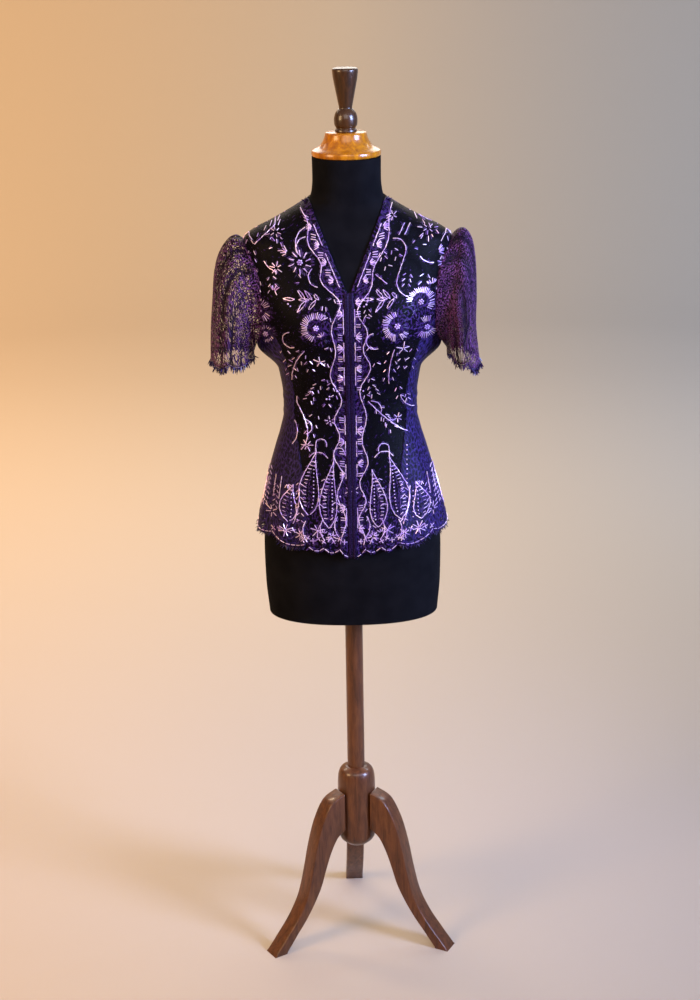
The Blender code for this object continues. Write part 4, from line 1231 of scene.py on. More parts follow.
def sew(name, shape, finish, places, slot, unevenness=0.08, seed=3, nodes=()):
    """Sews a shape on every place: each is its point, aim, up, size and tint."""
    point, aim, up, size, tint = (np.array(part, float) for part in zip(*places))
    mesh = bpy.data.meshes.new(name + "_places")
    mesh.from_pydata((point + AXIS).tolist(), [], [])
    for key, values in (("aim", aim), ("up", up), ("size", size)):
        layer = mesh.attributes.new(key, "FLOAT_VECTOR", "POINT")
        layer.data.foreach_set("vector", values.ravel().astype(np.float32))
    layer = mesh.attributes.new("tint", "FLOAT", "POINT")
    layer.data.foreach_set("value", tint.astype(np.float32))
    cloud = bpy.data.objects.new(name + "_places", mesh)
    bpy.context.scene.collection.objects.link(cloud)
    sewing = cloud.modifiers.new("sewing", "NODES")
    sewing.node_group = SEWING
    sewing[INPUTS["Shape"]] = shape
    sewing[INPUTS["Finish"]] = finish
    sewing[INPUTS["Unevenness"]] = unevenness
    sewing[INPUTS["Seed"]] = seed
    real = bpy.data.meshes.new_from_object(
        cloud.evaluated_get(bpy.context.evaluated_depsgraph_get()))
    bpy.data.objects.remove(cloud)
    real.name = name
    print(name, "sewn on", len(places), "times:", len(real.polygons), "faces")
    return hand_in(name, real, None, slot, *nodes)


# %% [markdown]
# ## Drawing with beads
#
# A motif is drawn on the flat pattern and then laid on the cloth: x is the distance from the centre
# line as seen from the front or the back, and z the height, both in millimetres. A bugle is a stroke
# with two ends, a seed is a dot. Both ends are found on the surface, so a bead always lies along the
# cloth. Under the beads run satin stitches, darker, which close the net round every motif.

# %% Strokes, dots and the lines made of them
RANDOM = random.Random(11)
BUGLE_LENGTH, BUGLE_WIDTH, VINE_WIDTH = 7.6, 1.25, 1.5
SEED_SIZE = 3.1
STITCH_LENGTH, STITCH_WIDTH = 6.5, 2.1
STITCH_ASIDE = 2.3


class Pattern:
    """The strokes, dots and stitches of one panel, on its flat pattern."""

    def __init__(self):
        self.strokes, self.dots, self.stitches = [], [], []

    @staticmethod
    def polar(at, reach, angle):
        """A place at a distance and an angle in degrees."""
        turn = math.radians(angle)
        return at[0] + reach * math.cos(turn), at[1] + reach * math.sin(turn)

    def stroke(self, start, end, width=BUGLE_WIDTH, haze=0.75):
        """One bugle, with now and then a satin stitch beside it."""
        self.strokes.append((start, end, width, RANDOM.uniform(0, 1)))
        if RANDOM.random() < haze:
            angle = math.degrees(math.atan2(end[1] - start[1], end[0] - start[0]))
            middle = mix(start[0], end[0], 0.5), mix(start[1], end[1], 0.5)
            beside = self.polar(middle, RANDOM.choice((-STITCH_ASIDE, STITCH_ASIDE)), angle + 90)
            self.stitch(beside, angle + RANDOM.uniform(-30, 30))

    def stitch(self, at, angle):
        """One satin stitch."""
        reach = STITCH_LENGTH / 2
        self.stitches.append((self.polar(at, -reach, angle), self.polar(at, reach, angle),
                              STITCH_WIDTH, RANDOM.uniform(0, 1)))

    def bugle(self, x, z, angle, length=BUGLE_LENGTH):
        """One bugle with its middle at a place."""
        reach = length * RANDOM.uniform(0.92, 1.08) / 2
        self.stroke(self.polar((x, z), -reach, angle), self.polar((x, z), reach, angle))

    def seeds(self, *places, size=SEED_SIZE):
        """Single seed beads."""
        for x, z in places:
            self.dots.append(((x, z), size * RANDOM.uniform(0.9, 1.1), RANDOM.uniform(0, 0.6)))

    def line(self, knots, length=6.4, gap=0.5, width=VINE_WIDTH, wander=0.35):
        """A row of bugles along a smooth curve, each a little askew as hand-sewn ones are."""
        points = smooth_line(knots)
        run = np.concatenate(([0], np.cumsum(np.linalg.norm(np.diff(points, axis=0), axis=1))))
        at, sway = 0.0, 1
        while at + length * 0.6 < run[-1]:
            size = length * RANDOM.uniform(0.85, 1.1)
            start, end = ([float(np.interp(s, run, points[:, k])) for k in (0, 1)]
                          for s in (at, min(at + size, run[-1])))
            angle = math.degrees(math.atan2(end[1] - start[1], end[0] - start[0]))
            off = wander * sway * RANDOM.uniform(0.4, 1.0)
            self.stroke(self.polar(start, off, angle + 90), self.polar(end, -off, angle + 90),
                        width)
            at, sway = at + size + gap, -sway

    def eye(self, at, size=SEED_SIZE):
        """Seven seed beads, one with six round it."""
        self.seeds(at, *(self.polar(at, size * 1.15, 60 * k + 10) for k in range(6)), size=size)

    def ring(self, at, outer, inner, arcs, tilt=5):
        """A ring flower: bugles like the spokes of a wheel round a seven-bead eye."""
        for start, end, count in arcs:
            for k in range(count):
                angle = mix(start, end, (k + 0.5) / count) + RANDOM.uniform(-1.5, 1.5)
                near = self.polar(at, inner * RANDOM.uniform(0.95, 1.05), angle)
                far = self.polar(at, outer * RANDOM.uniform(0.93, 1.05), angle + tilt)
                self.stroke(near, far, haze=0.3)
        self.eye(at)
        for k in range(round(outer * 1.3)):
            angle, reach = RANDOM.uniform(0, 360), outer * RANDOM.uniform(0.5, 1.2)
            self.stitch(self.polar(at, reach, angle), angle + RANDOM.uniform(-25, 25))

    def star(self, at, radius=10, rays=6, turn=20, hollow=0.28, seed=False):
        """A star of bugles."""
        for k in range(rays):
            angle = turn + 360 * k / rays + RANDOM.uniform(-10, 10)
            self.stroke(self.polar(at, radius * hollow, angle),
                        self.polar(at, radius * RANDOM.uniform(0.85, 1.1), angle), 1.4, haze=0.9)
        if seed:
            self.seeds(at)

    def fan(self, at, angle, leaves=4, spread=80, reach=9, hollow=0.25):
        """A bud: bugles that spread from a point."""
        for k in range(leaves):
            turn = angle + spread * (k / max(leaves - 1, 1) - 0.5) + RANDOM.uniform(-5, 5)
            self.stroke(self.polar(at, reach * hollow, turn),
                        self.polar(at, reach * RANDOM.uniform(0.88, 1.08), turn), 1.4)

    def bars(self, x, z, angle=4, count=2, length=6.4):
        """Short parallel bars."""
        for k in range(count):
            self.bugle(x, z - 4.0 * (k - (count - 1) / 2), angle + RANDOM.uniform(-7, 7), length)

    def leaf(self, root, tip, split=5.2):
        """A long pointed leaf: two rows of bugles that meet at its tip."""
        along = math.degrees(math.atan2(tip[1] - root[1], tip[0] - root[0]))
        middle = mix(root[0], tip[0], 0.45), mix(root[1], tip[1], 0.45)
        for side in (1, -1):
            bow = self.polar(middle, side * split / 2, along + 90)
            self.line((root, bow, tip), gap=0.6, width=1.2)

    def run(self, start, heading, turns):
        """Places along a run: each turn is a length and how far the heading bends over it."""
        points, angle = [start], heading
        for length, bend in turns:
            steps = max(2, round(length / 4))
            for _ in range(steps):
                angle += bend / steps
                points.append(self.polar(points[-1], length / steps, angle))
        return points

    def scroll(self, start, heading, turns, width=VINE_WIDTH):
        """A bead line along a run."""
        self.line(self.run(start, heading, turns), width=width)

    def sprig(self, start, heading, length, pairs, bend=0, reach=5.0, spread=35, stem=False):
        """Single bugles in pairs to both sides of a stem, which may be a bead line itself."""
        points = self.run(start, heading, ((length, bend),))
        if stem:
            self.line(points)
        for k in range(pairs):
            share = (k + 0.5) / pairs
            at = points[round(share * (len(points) - 1))]
            angle = heading + bend * share
            for side in (1, -1):
                x, z = self.polar(at, reach * RANDOM.uniform(0.8, 1.2), angle + 90 * side)
                self.bugle(x, z, angle + side * spread + RANDOM.uniform(-12, 12), 6.4)

    def palm(self, root, heading, length=44, reach=20):
        """A palm spray: long leaves above and below an axis, two more at its end, and two seeds."""
        up = 52 if math.cos(math.radians(heading)) > 0 else -52
        for share, turn, size in ((0.0, up, 0.7), (0.25, up, 0.95), (0.5, up, 1.1), (0.1, -up, 1.1),
                                  (0.45, -up, 1.3), (0.35, 0, 0.9), (0.9, 0, 1.0)):
            at = self.polar(root, length * share, heading)
            self.leaf(at, self.polar(at, reach * size, heading + turn))
        end = self.polar(root, length * 1.15, heading)
        self.seeds(self.polar(end, 8, 270), self.polar(end, 12, 250))

    def paisley(self, tip, foot, width, bars=13, hook=0):
        """A tall paisley: bowed sides, a ladder of bars, a row of seeds and a hook at its tip."""
        along = math.degrees(math.atan2(foot[1] - tip[1], foot[0] - tip[0]))

        def at(share, across):
            middle = mix(tip[0], foot[0], share), mix(tip[1], foot[1], share)
            swell = math.sin(math.pi * share ** 1.7) ** 0.75 * width / 2
            bow = 5.0 * math.sin(math.pi * share) * (hook or 1)
            return self.polar(middle, across * swell + bow, along + 90)

        shares = [k / 12 for k in range(13)]
        for across in (1.0, -1.0):
            self.line([at(share, across) for share in shares])
        for k in range(bars):
            share = 0.16 + 0.70 * k / max(bars - 1, 1)
            x, z = at(share, 0.42)
            self.bugle(x, z, along + 90 + RANDOM.uniform(-16, 16), min(5.6, width * 0.3))
            self.seeds(at(share, -0.50), size=2.5)
            self.stitch(at(share, 0.0), RANDOM.uniform(40, 140))
        if hook:
            self.scroll(tip, 90, ((16, 0), (34, 205 * hook)))

    def zigzag(self, low, high, pairs, width=5.0):
        """Two slanting columns of short bugles."""
        for k in range(pairs):
            share = (k + 0.5) / pairs
            x, z = mix(low[0], high[0], share), mix(low[1], high[1], share)
            self.bugle(x - width / 2, z, 55, 4.6)
            self.bugle(x + width / 2, z + 1.5, -50, 4.6)

    def scatter(self, inside, low, high, spacing):
        """Satin stitches all over a region, in changing directions."""
        for x in np.arange(low[0], high[0], spacing):
            for z in np.arange(low[1], high[1], spacing):
                at = (x + RANDOM.uniform(-0.5, 0.5) * spacing,
                      z + RANDOM.uniform(-0.5, 0.5) * spacing)
                if inside(*at):
                    flow = 130 * math.sin(at[0] * 0.09) + 150 * math.cos(at[1] * 0.07 + at[0] * 0.04)
                    self.stitch(at, flow + RANDOM.uniform(-30, 30))

    def draw(self, motifs):
        """The motifs of a table in turn, each in the way of its kind."""
        for motif in motifs:
            WAYS[type(motif)](self, (motif.x, motif.z), *motif[2:])


def smooth_line(knots, steps=8):
    """A smooth curve through a few places of the pattern."""
    knots = np.array(knots, float)
    if len(knots) < 3:
        return knots
    places = np.linspace(0, len(knots) - 1, steps * (len(knots) - 1) + 1)
    return np.stack([blend_knots(knots, place, False) for place in places])


# %% The kinds of motif that tables hold
Scroll = namedtuple("Scroll", "x z heading turns width", defaults=(VINE_WIDTH,))
Sprig = namedtuple("Sprig", "x z heading length pairs bend reach spread stem",
                   defaults=(0, 5.0, 35, False))
Star = namedtuple("Star", "x z radius rays turn hollow seed", defaults=(0.28, False))
Fan = namedtuple("Fan", "x z angle leaves spread reach")
Ring = namedtuple("Ring", "x z outer inner arcs tilt", defaults=(5,))
Palm = namedtuple("Palm", "x z heading")
WAYS = {Scroll: Pattern.scroll, Sprig: Pattern.sprig, Star: Pattern.star, Fan: Pattern.fan,
        Ring: Pattern.ring, Palm: Pattern.palm}
print("kinds of motif:", ", ".join(kind.__name__ for kind in WAYS))

# %% Laying a pattern on the cloth
def on_front(side):
    """Pattern places to angles on the front half: side is 1 for the wearer's left."""
    def lay(x, z):
        return side * angle_at(np.maximum(x, 0.0), z)
    return lay


def on_back(x, z):
    """Pattern places to angles on the back, to one side of the spine where x is positive."""
    return np.pi - np.sign(x) * (np.pi - angle_at(np.abs(x), z, np.pi / 2, np.pi))


def round_body(centre, side, radius):
    """Pattern places to angles round the body, from a centre line in degrees."""
    def lay(x, z):
        return side * (np.radians(centre) + x * 1000 / radius)
    return lay


def lay_strokes(strokes, lay, lift, thick):
    """Strokes of the pattern as places on the cloth."""
    starts = np.array([row[0] for row in strokes]) / 1000
    ends = np.array([row[1] for row in strokes]) / 1000
    width = np.array([row[2] for row in strokes]) / 1000
    tint = np.clip([row[3] for row in strokes], 0, 1)
    out = WALL + width * thick / 2 + lift
    laid = []
    for part in (starts, ends):
        phi = lay(part[:, 0], part[:, 1])
        laid.append(cloth_point(phi, part[:, 1], out))
    up = form_normal(phi, ends[:, 1])
    length = np.linalg.norm(laid[1] - laid[0], axis=1)
    size = np.stack((length, width, width * thick), axis=-1)
    keep = (length > 0.001) & (length < 0.03)
    rows = zip((laid[0] + laid[1]) / 2, laid[1] - laid[0], up, size, tint)
    return [row for row, good in zip(rows, keep) if good]


def as_strokes(dots):
    """Dots as short upright strokes."""
    return [((x, z - size / 2), (x, z + size / 2), size, tint) for (x, z), size, tint in dots]


def sew_pattern(name, patterns):
    """All that a panel's patterns hold, as bugles, seeds and stitches."""
    for kind, shape, finish, slot, thick in (("bugles", BUGLE, BEAD, "bead", 1.0),
                                             ("seeds", SEED, BEAD, "bead", 1.0),
                                             ("stitches", STITCH, THREAD, "thread", 0.30)):
        places = []
        for pattern, lay in patterns:
            rows = {"bugles": pattern.strokes, "seeds": as_strokes(pattern.dots),
                    "stitches": pattern.stitches}[kind]
            if rows:
                places += lay_strokes(rows, lay, 0.0002 if kind != "stitches" else 0.0, thick)
        if places:
            sew(f"{kind}_{name}", shape, finish, places, slot)


# %% [markdown]
# ## The fronts' beadwork
#
# From the top down: the border between neck edge and vine, the chest with its ring flowers, palm
# sprays and scrolls, the thin stems of the waist, and the paisleys and stars of the hem.

# %% The border between neck edge and vine
Dash = namedtuple("Dash", "high low")
NECK_DASHES = Dash(1370, 1335), Dash(1325, 1270)
CENTRE_DASHES = (Dash(1235, 1190), Dash(1180, 1145), Dash(1135, 1100), Dash(1045, 1010),
                 Dash(1000, 970), Dash(960, 935), Dash(885, 850))
NECK_DASH_INSET, NECK_BAR_INSET, CENTRE_INSET = 8, 17, 9.5


def neck_edge(z, inset):
    """The distance from the centre front at which a place lies inside the neck edge."""
    return float(neck_half(z / 1000)) * 1000 + inset


def border(pattern, side):
    """The vine, the broken line inside the edge, and the buds and bars between them."""
    pattern.line([(float(vine_reach(side, z)), z) for z in range(1396, 814, -9)])
    for dash in NECK_DASHES:
        pattern.line([(neck_edge(z, NECK_DASH_INSET), z) for z in np.linspace(*dash, 4)])
    for k, z in enumerate(range(1378, 1268, -14)):
        inside = neck_edge(z, NECK_BAR_INSET)
        if k % 2:
            pattern.fan((inside - 5, z), 15, 6, 80, 11)
        else:
            pattern.bars(inside, z, 15 - 3 * k, 3, 8.5)
    for dash in CENTRE_DASHES:
        pattern.scroll((CENTRE_INSET, dash.high), 271, ((dash.high - dash.low, -2),))
    for k, z in enumerate(range(1246, 846, -19)):
        if 1052 < z < 1094 or 895 < z < 930:
            continue
        if k % 3 == (0 if side > 0 else 1):
            pattern.fan((9, z), 0, 6, 80, 12)
        else:
            pattern.bars(15.5, z, 4, 2 + k % 2, 8)
    pattern.star((4.5, 914), 9, 5, 45)
    pattern.seeds((20, 1022), (22, 1090), (20, 905))


# %% The chest
CHEST_LEFT = (
    Palm(80, 1250, 180),
    Scroll(40, 1195, 180, ((50, 210),)),
    Star(90, 1165, 11, 5, 15, 0.12),
    Star(135, 1355, 9, 6, 18, 0.35),
    Star(135, 1355, 17, 8, 34, 0.62),
    Star(160, 1300, 11, 7, 5),
    Scroll(120, 1315, 300, ((30, 60),)),
    Fan(150, 1320, 20, 5, 90, 12),
    Fan(140, 1265, 100, 4, 80, 12),
    Scroll(75, 1345, 20, ((40, -130), (40, 0), (40, 90))),
    Scroll(85, 1350, 60, ((20, 0),)),
    Scroll(95, 1350, 60, ((20, 0),)),
    Scroll(45, 1290, 320, ((25, 0),)),
    Sprig(55, 1330, 280, 35, 3, 20),
    Sprig(75, 1330, 300, 20, 2),
    Sprig(100, 1290, 250, 25, 3, 20, 6),
    Star(75, 1380, 8, 5, 40),
    Sprig(30, 1235, 280, 15, 2, 0, 4),
)
CHEST_RIGHT = (
    Palm(50, 1250, 0),
    Scroll(100, 1195, 0, ((50, -210),)),
    Star(50, 1145, 11, 5, 15, 0.12),
    Star(120, 1355, 9, 6, 18, 0.35),
    Star(120, 1355, 17, 8, 34, 0.62),
    Star(120, 1300, 11, 7, 5),
    Scroll(140, 1310, 250, ((30, -60),)),
    Fan(100, 1325, 20, 5, 90, 12),
    Fan(125, 1260, 100, 4, 80, 12),
    Scroll(70, 1365, 340, ((50, -100),)),
    Scroll(70, 1350, 0, ((35, -110),)),
    Scroll(120, 1365, 320, ((50, 0),)),
    Scroll(60, 1300, 330, ((40, -140),)),
    Ring(80, 1310, 20, 11, ((0, 360, 10),), 0),
    Ring(80, 1310, 19, 10, ((8, 368, 10),), -10),
    Sprig(75, 1280, 20, 20, 1),
    Sprig(40, 1240, 280, 20, 2, 0, 3, 10),
    Fan(45, 1190, 60, 4, 100, 8),
)
ARMHOLE_SPRIGS = (
    Sprig(165, 1345, 260, 90, 6, 12, 5, 30),
    Scroll(160, 1340, 60, ((45, -170),), 1.3),
    Sprig(110, 1380, 330, 60, 4, -8, 4, 20),
)
VINE_BUDS = 1250, 1220, 1170, 1140, 1110, 1080
CHEST_SPRIGS = (
    Sprig(130, 1290, 250, 40, 3, 30, 6),
    Sprig(150, 1280, 280, 40, 3, 0, 5),
    Sprig(110, 1165, 260, 50, 3, -10, 7),
    Sprig(105, 1330, 20, 30, 2, 0, 6),
)
STEMS_LEFT = Sprig(75, 1165, 250, 66, 4, 22, 8, 25, True), Sprig(90, 1150, 260, 30, 2, 0, 5)
STEMS_RIGHT = Sprig(75, 1165, 312, 66, 4, -40, 8, 25, True), Sprig(70, 1150, 260, 30, 2, 0, 5)


def chest(pattern, side):
    """Ring flowers with a palm spray over each main one, scrolls, stars and hanging stems."""
    for flower in FLOWERS:
        if flower.side == side:
            pattern.ring((flower.x, flower.z), flower.outer, flower.inner, flower.arcs)
    pattern.draw(CHEST_LEFT if side > 0 else CHEST_RIGHT)
    pattern.draw(ARMHOLE_SPRIGS)
    for z in VINE_BUDS:
        pattern.sprig((float(vine_reach(side, z)) + 8, z + 6), 290, 14, 1, 0, 4, 45)
    pattern.draw(CHEST_SPRIGS)
    pattern.draw(STEMS_LEFT if side > 0 else STEMS_RIGHT)


# %% The waist
WAIST_LEFT = (
    Scroll(30, 1070, 310, ((80, 10),)),
    Sprig(45, 1060, 300, 60, 4, 6, 6, 30),
    Sprig(80, 1095, 280, 30, 2, 0, 5),
    Star(80, 1035, 9, 6, 20, 0.2),
    Scroll(35, 1070, 10, ((35, -120),)),
    Scroll(85, 1075, 280, ((40, 60),)),
    Scroll(85, 1015, 330, ((15, 0),)),
    Sprig(35, 1100, 290, 25, 3, 0, 6),
    Sprig(60, 1040, 290, 20, 2, 0, 5),
    Sprig(95, 1080, 280, 25, 2, 0, 3),
)
WAIST_RIGHT = (
    Scroll(90, 1075, 290, ((20, -50), (40, 20), (40, 50))),
    Scroll(95, 1030, 240, ((20, 30), (25, 40))),
    Scroll(75, 1035, 190, ((35, 150),)),
    Sprig(50, 1105, 300, 50, 4, 0, 6),
    Sprig(60, 1050, 280, 50, 3, 10, 7, 30),
    Sprig(30, 1110, 280, 25, 2, 0, 5),
    Fan(65, 1090, 280, 4, 80, 9),
    Star(35, 1035, 9, 6, 20, 0.4, True),
    Star(75, 990, 10, 6, 0, 0.15),
    Sprig(40, 1070, 270, 15, 1, 0, 5),
)


def waist(pattern, side):
    """Thin stems and small sprigs."""
    if side > 0:
        pattern.draw(WAIST_LEFT)
        pattern.seeds(*((95, z) for z in range(920, 992, 8)), size=2.6)
    else:
        pattern.draw(WAIST_RIGHT)
        pattern.seeds((35, 1080), (40, 1075), (35, 1075))


# %% The hem of the fronts
Paisley = namedtuple("Paisley", "side x top foot_x foot width bars hook")
PAISLEYS = (
    Paisley(1, 65, 970, 85, 860, 35, 14, 1),
    Paisley(1, 35, 950, 45, 850, 30, 13, 0),
    Paisley(-1, 60, 980, 75, 870, 35, 13, 1),
    Paisley(-1, 30, 965, 40, 850, 30, 14, 1),
)
HEM_SPRIGS = (
    Sprig(45, 940, 280, 60, 4, 0, 3, 60),
    Sprig(25, 900, 280, 70, 5, 0, 4, 50),
    Sprig(90, 930, 270, 80, 6, 0, 4, 50),
)


def hem(pattern, side):
    """The paisleys, and stars and curled stems round their feet."""
    for row in PAISLEYS:
        if row.side == side:
            pattern.paisley((row.x, row.top), (row.foot_x, row.foot), row.width, row.bars, row.hook)
    pattern.scroll((40, 970), 70, ((40, -130),))
    for k, x in enumerate((35, 60, 90)):
        pattern.star((x, 835 + 10 * (k % 2)), 10 + 2 * (k % 2), 7, 12 * k, 0.18, k == 1)
        pattern.scroll((x - 10, 870 - 5 * k), 310, ((40, -80),))
    pattern.draw(HEM_SPRIGS)
    for k in range(9):
        pattern.star((14 + 9 * k, 826 + 5 * (k % 2)), 5, 4, 30 * k, 0.1)
    pattern.fan((50, 840), 90, 4, 120, 9)


# %% The border of the sides, and the dashed line along the hem
def side_border(pattern, side):
    """What shows of a side panel's border from the front."""
    x = 120 if side > 0 else 110
    pattern.paisley((x - 10, 920), (x, 855), 30, 8)
    pattern.scroll((x - 20, 915), 270, ((65, -20 * side),))
    for k in (0, 1):
        pattern.scroll((x + 10 + 10 * k, 930), 280, ((40, 0),))
    pattern.star((115, 840), 12, 8, 20, 0.15)
    pattern.star((140, 865), 10, 6, 30)
    pattern.fan((x, 920), 250, 4, 100, 9)
    pattern.seeds(*((x - 15, z) for z in range(860, 906, 9)), size=2.6)
    for low, high, top in ((150, 140, 940), (135, 130, 915)):
        pattern.zigzag((low, 870), (high, top), (top - 860) // 10)
    for k in range(5):
        pattern.star((90 + 12 * k, 838 + 3 * (k % 2)), 5, 4, 45 + 20 * k, 0.1)


HEM_LINE_HEIGHT, HEM_LINE_FILL = 4.5, 0.75


def hem_line(pattern, low, high, radius, centre=0.0, step=4.3):
    """The dashed line of bugles along the scalloped edge: angles in degrees round the body."""
    for at in np.arange(low, high - step * HEM_LINE_FILL, step):
        ends = [(math.radians(angle - centre) * radius,
                 float(hem_height(np.radians(angle))) * 1000 + HEM_LINE_HEIGHT)
                for angle in (at, at + step * HEM_LINE_FILL)]
        pattern.stroke(*ends, haze=0.4)


# %% The fronts, sewn
HEM_RADIUS = 120
for hand, side in SIDES:
    pattern = Pattern()
    for draw in (border, chest, waist, hem):
        draw(pattern, side)
    pattern.scatter(lambda x, z: 9 < x < vine_reach(side, z) - 2 and z < 1255,
                    (8, 812), (40, 1255), 8.5)
    pattern.scatter(lambda x, z: neck_edge(z, 3) < x < vine_reach(side, z) - 2,
                    (4, 1265), (85, 1398), 8.0)
    pattern.scatter(lambda x, z: x < 84 and z < 850 - 0.2 * (x - 20) + 15 * RANDOM.random(),
                    (12, 812), (86, 865), 9.5)
    edge = Pattern()
    hem_line(edge, 0.5, 39.5, HEM_RADIUS)
    sew_pattern(f"front_{hand}", [(pattern, on_front(side)),
                                  (edge, round_body(0.0, side, HEM_RADIUS))])
print("pieces:", len(PIECES))

# %% [markdown]
# ## Side panels and back
#
# The side panels are plain lace but for a border at the hem. The back, which the photograph doesn't
# show, has the fronts' waist and hem, a ring flower and sprays on each shoulder blade, and small
# stars on the net between them, all mirrored about the spine.

# %% The sides' borders
SIDE_RADIUS = 150
for hand, side in SIDES:
    pattern, around = Pattern(), Pattern()
    side_border(pattern, side)
    for x in (15, 62, 108):
        around.paisley((x + 3, 918), (x, 856), 26, 8)
        around.star((x + 22, 858), 11, 7, 10, 0.15)
        around.scroll((x + 22, 928), 266, ((36, 6),))
        around.fan((x + 22, 886), 270, 4, 110, 9)
        around.zigzag((x - 20, 866), (x - 22, 918), 7)
    around.scatter(lambda x, z: z < 905 + 12 * math.sin(x * 0.13), (-5, 842), (124, 920), 6.6)
    pattern.scatter(lambda x, z: x > 86 + (z - 840) * 0.10 and z < 918 - 0.3 * (x - 90),
                    (84, 826), (150, 925), 11.0)
    edge = Pattern()
    hem_line(edge, 41.5, 137.5, SIDE_RADIUS, 90.0, 3.5)
    sew_pattern(f"side_{hand}", [(pattern, on_front(side)),
                                 (around, round_body(82.0, side, SIDE_RADIUS)),
                                 (edge, round_body(90.0, side, SIDE_RADIUS))])
print("pieces:", len(PIECES))

# %% The back's beadwork
SHOULDER_BLADE = (
    Ring(62, 1222, 26, 16, ((-60, 200, 26),)),
    Palm(50, 1264, 0),
    Scroll(112, 1216, 0, ((52, -210),)),
    Scroll(14, 1334, 350, ((60, -110),)),
    Scroll(66, 1352, 340, ((52, -105),)),
    Star(96, 1326, 10, 6, 10, 0.35),
    Star(96, 1326, 18, 8, 5, 0.62),
    Sprig(124, 1320, 265, 70, 4, 10, 6),
    Scroll(10, 1374, 8, ((52, 10),)),
    Sprig(16, 1366, 350, 50, 4, 0, 5),
)
half = Pattern()
waist(half, -1)
hem(half, -1)
half.draw(SHOULDER_BLADE)
for x, z in ((24, 1180), (76, 1166), (50, 1134), (20, 1106), (84, 1112), (22, 1226), (24, 1272)):
    half.star((x, z), 9, 6, x, 0.2)
    half.sprig((x + 2, z + 20), 95, 14, 1, 0, 5)
half.scroll((70, 1186), 262, ((60, -24),))
pattern = Pattern()
for mirror in (1, -1):
    for kind in ("strokes", "stitches"):
        for start, end, width, tint in getattr(half, kind):
            flipped = (start[0] * mirror, start[1]), (end[0] * mirror, end[1])
            getattr(pattern, kind).append((*flipped, width, tint))
    pattern.dots += [((at[0] * mirror, at[1]), size, tint) for at, size, tint in half.dots]
pattern.scatter(lambda x, z: 2 < abs(x) < 106, (-106, 818), (106, 872), 6.4)
edge = Pattern()
hem_line(edge, 140.5, 219.5, HEM_RADIUS, 180.0)
sew_pattern("back", [(pattern, on_back), (edge, round_body(180.0, 1, HEM_RADIUS))])
print("pieces:", len(PIECES))

# %% [markdown]
# ## The eyelash edges
#
# The lace ends in eyelashes, single threads left long. They stand along the cuffs, in a tuft at the
# lowest corner, at the side corners of the hem and at the tips of the collar. A fine cord carries
# them round each cuff, one lash after another.

# %% Lashes on cuffs, hem and collar
LASH_LENGTH, LASH_WIDTH = 0.0110, 0.00042
HEM_LASH, TUFT_LASH, COLLAR_LASH, LONGEST_LASH = 0.0070, 0.0135, 0.0080, 0.0128
CUFF_LASHES, HEM_LASHES, TUFT_LASHES, COLLAR_LASHES = 300, 150, 40, 16
HEM_LASHES_FROM, HEM_LASHES_TO = 41, 138
TUFT_PLACES, COLLAR_PLACES, COLLAR_ANGLE = 7, 8, 1.30
CORD_WIDTH = 0.0011


def lashes(points, aims, count, spread, length=LASH_LENGTH, closed=True):
    """Places of lashes along an edge, each a little astray."""
    rows = []
    total = len(points)
    for k in range(count):
        at = (k + RANDOM.uniform(-0.4, 0.4)) / count * (total if closed else total - 1)
        i, share = int(at) % total, at % 1.0
        j = (i + 1) % total
        point, aim = mix(points[i], points[j], share), mix(aims[i], aims[j], share)
        stray = np.array([RANDOM.gauss(0, spread) for _ in range(3)])
        up = unit(np.array([RANDOM.gauss(0, 1) for _ in range(3)]))
        size = length * RANDOM.uniform(0.45, 1.1)
        rows.append((point, unit(aim + stray), up, (size, LASH_WIDTH, size * 0.30),
                     RANDOM.uniform(0, 0.7)))
    return rows


def cord_rows(points):
    """A fine cord as short overlapping stitches round a closed edge."""
    following = np.roll(points, -1, axis=0)
    rows = []
    for start, end in zip(points, following):
        aim = end - start
        length = float(np.linalg.norm(aim))
        size = length * 1.5, CORD_WIDTH, CORD_WIDTH
        rows.append(((start + end) / 2, aim, (0, 0, 1), size, 0.45))
    return rows


for hand, side in SIDES:
    edge, down = CUFFS[hand]
    sew(f"cuff_cord_{hand}", STITCH, THREAD, cord_rows(edge + down * 0.0008), "thread", 0.0)
    rows = lashes(edge + down * 0.0010, down, CUFF_LASHES, 0.28)
    corner = int(np.argmin(edge[:, 2] + edge[:, 1] * 0.4 - np.abs(edge[:, 0]) * 0.2))
    tuft = np.roll(edge, TUFT_PLACES // 2 - corner, axis=0)[:TUFT_PLACES]
    rows += lashes(tuft, np.tile(down[corner], (TUFT_PLACES, 1)), TUFT_LASHES, 0.40, TUFT_LASH,
                   closed=False)
    rows = [(point, aim, up, (min(size[0], LONGEST_LASH), *size[1:]), tint)
            for point, aim, up, size, tint in rows]
    sew(f"cuff_lashes_{hand}", LASH, THREAD, rows, "thread", 0.1, 5, (f"cuff_fringe_{hand}",))

hem_phi = np.radians(np.linspace(HEM_LASHES_FROM, HEM_LASHES_TO, 240))
rows = []
for side in (1, -1):
    z = hem_height(hem_phi)
    points = cloth_point(side * hem_phi, z, np.full(z.shape, WALL - 0.0003))
    aims = unit(points * (1, 1, 0)) * 0.5 + np.array((0, 0, -0.9))
    rows += lashes(points, aims, HEM_LASHES, 0.35, HEM_LASH, closed=False)
    phi = np.full(COLLAR_PLACES, side * COLLAR_ANGLE)
    points = cloth_point(phi, np.linspace(1.3985, 1.4035, COLLAR_PLACES), np.full(phi.shape, WALL))
    aims = np.tile(np.array((side * 0.6, 0, 0.8)), (COLLAR_PLACES, 1))
    rows += lashes(points, aims, COLLAR_LASHES, 0.5, COLLAR_LASH, closed=False)
sew("edge_lashes", LASH, THREAD, rows, "thread", 0.1, 6)

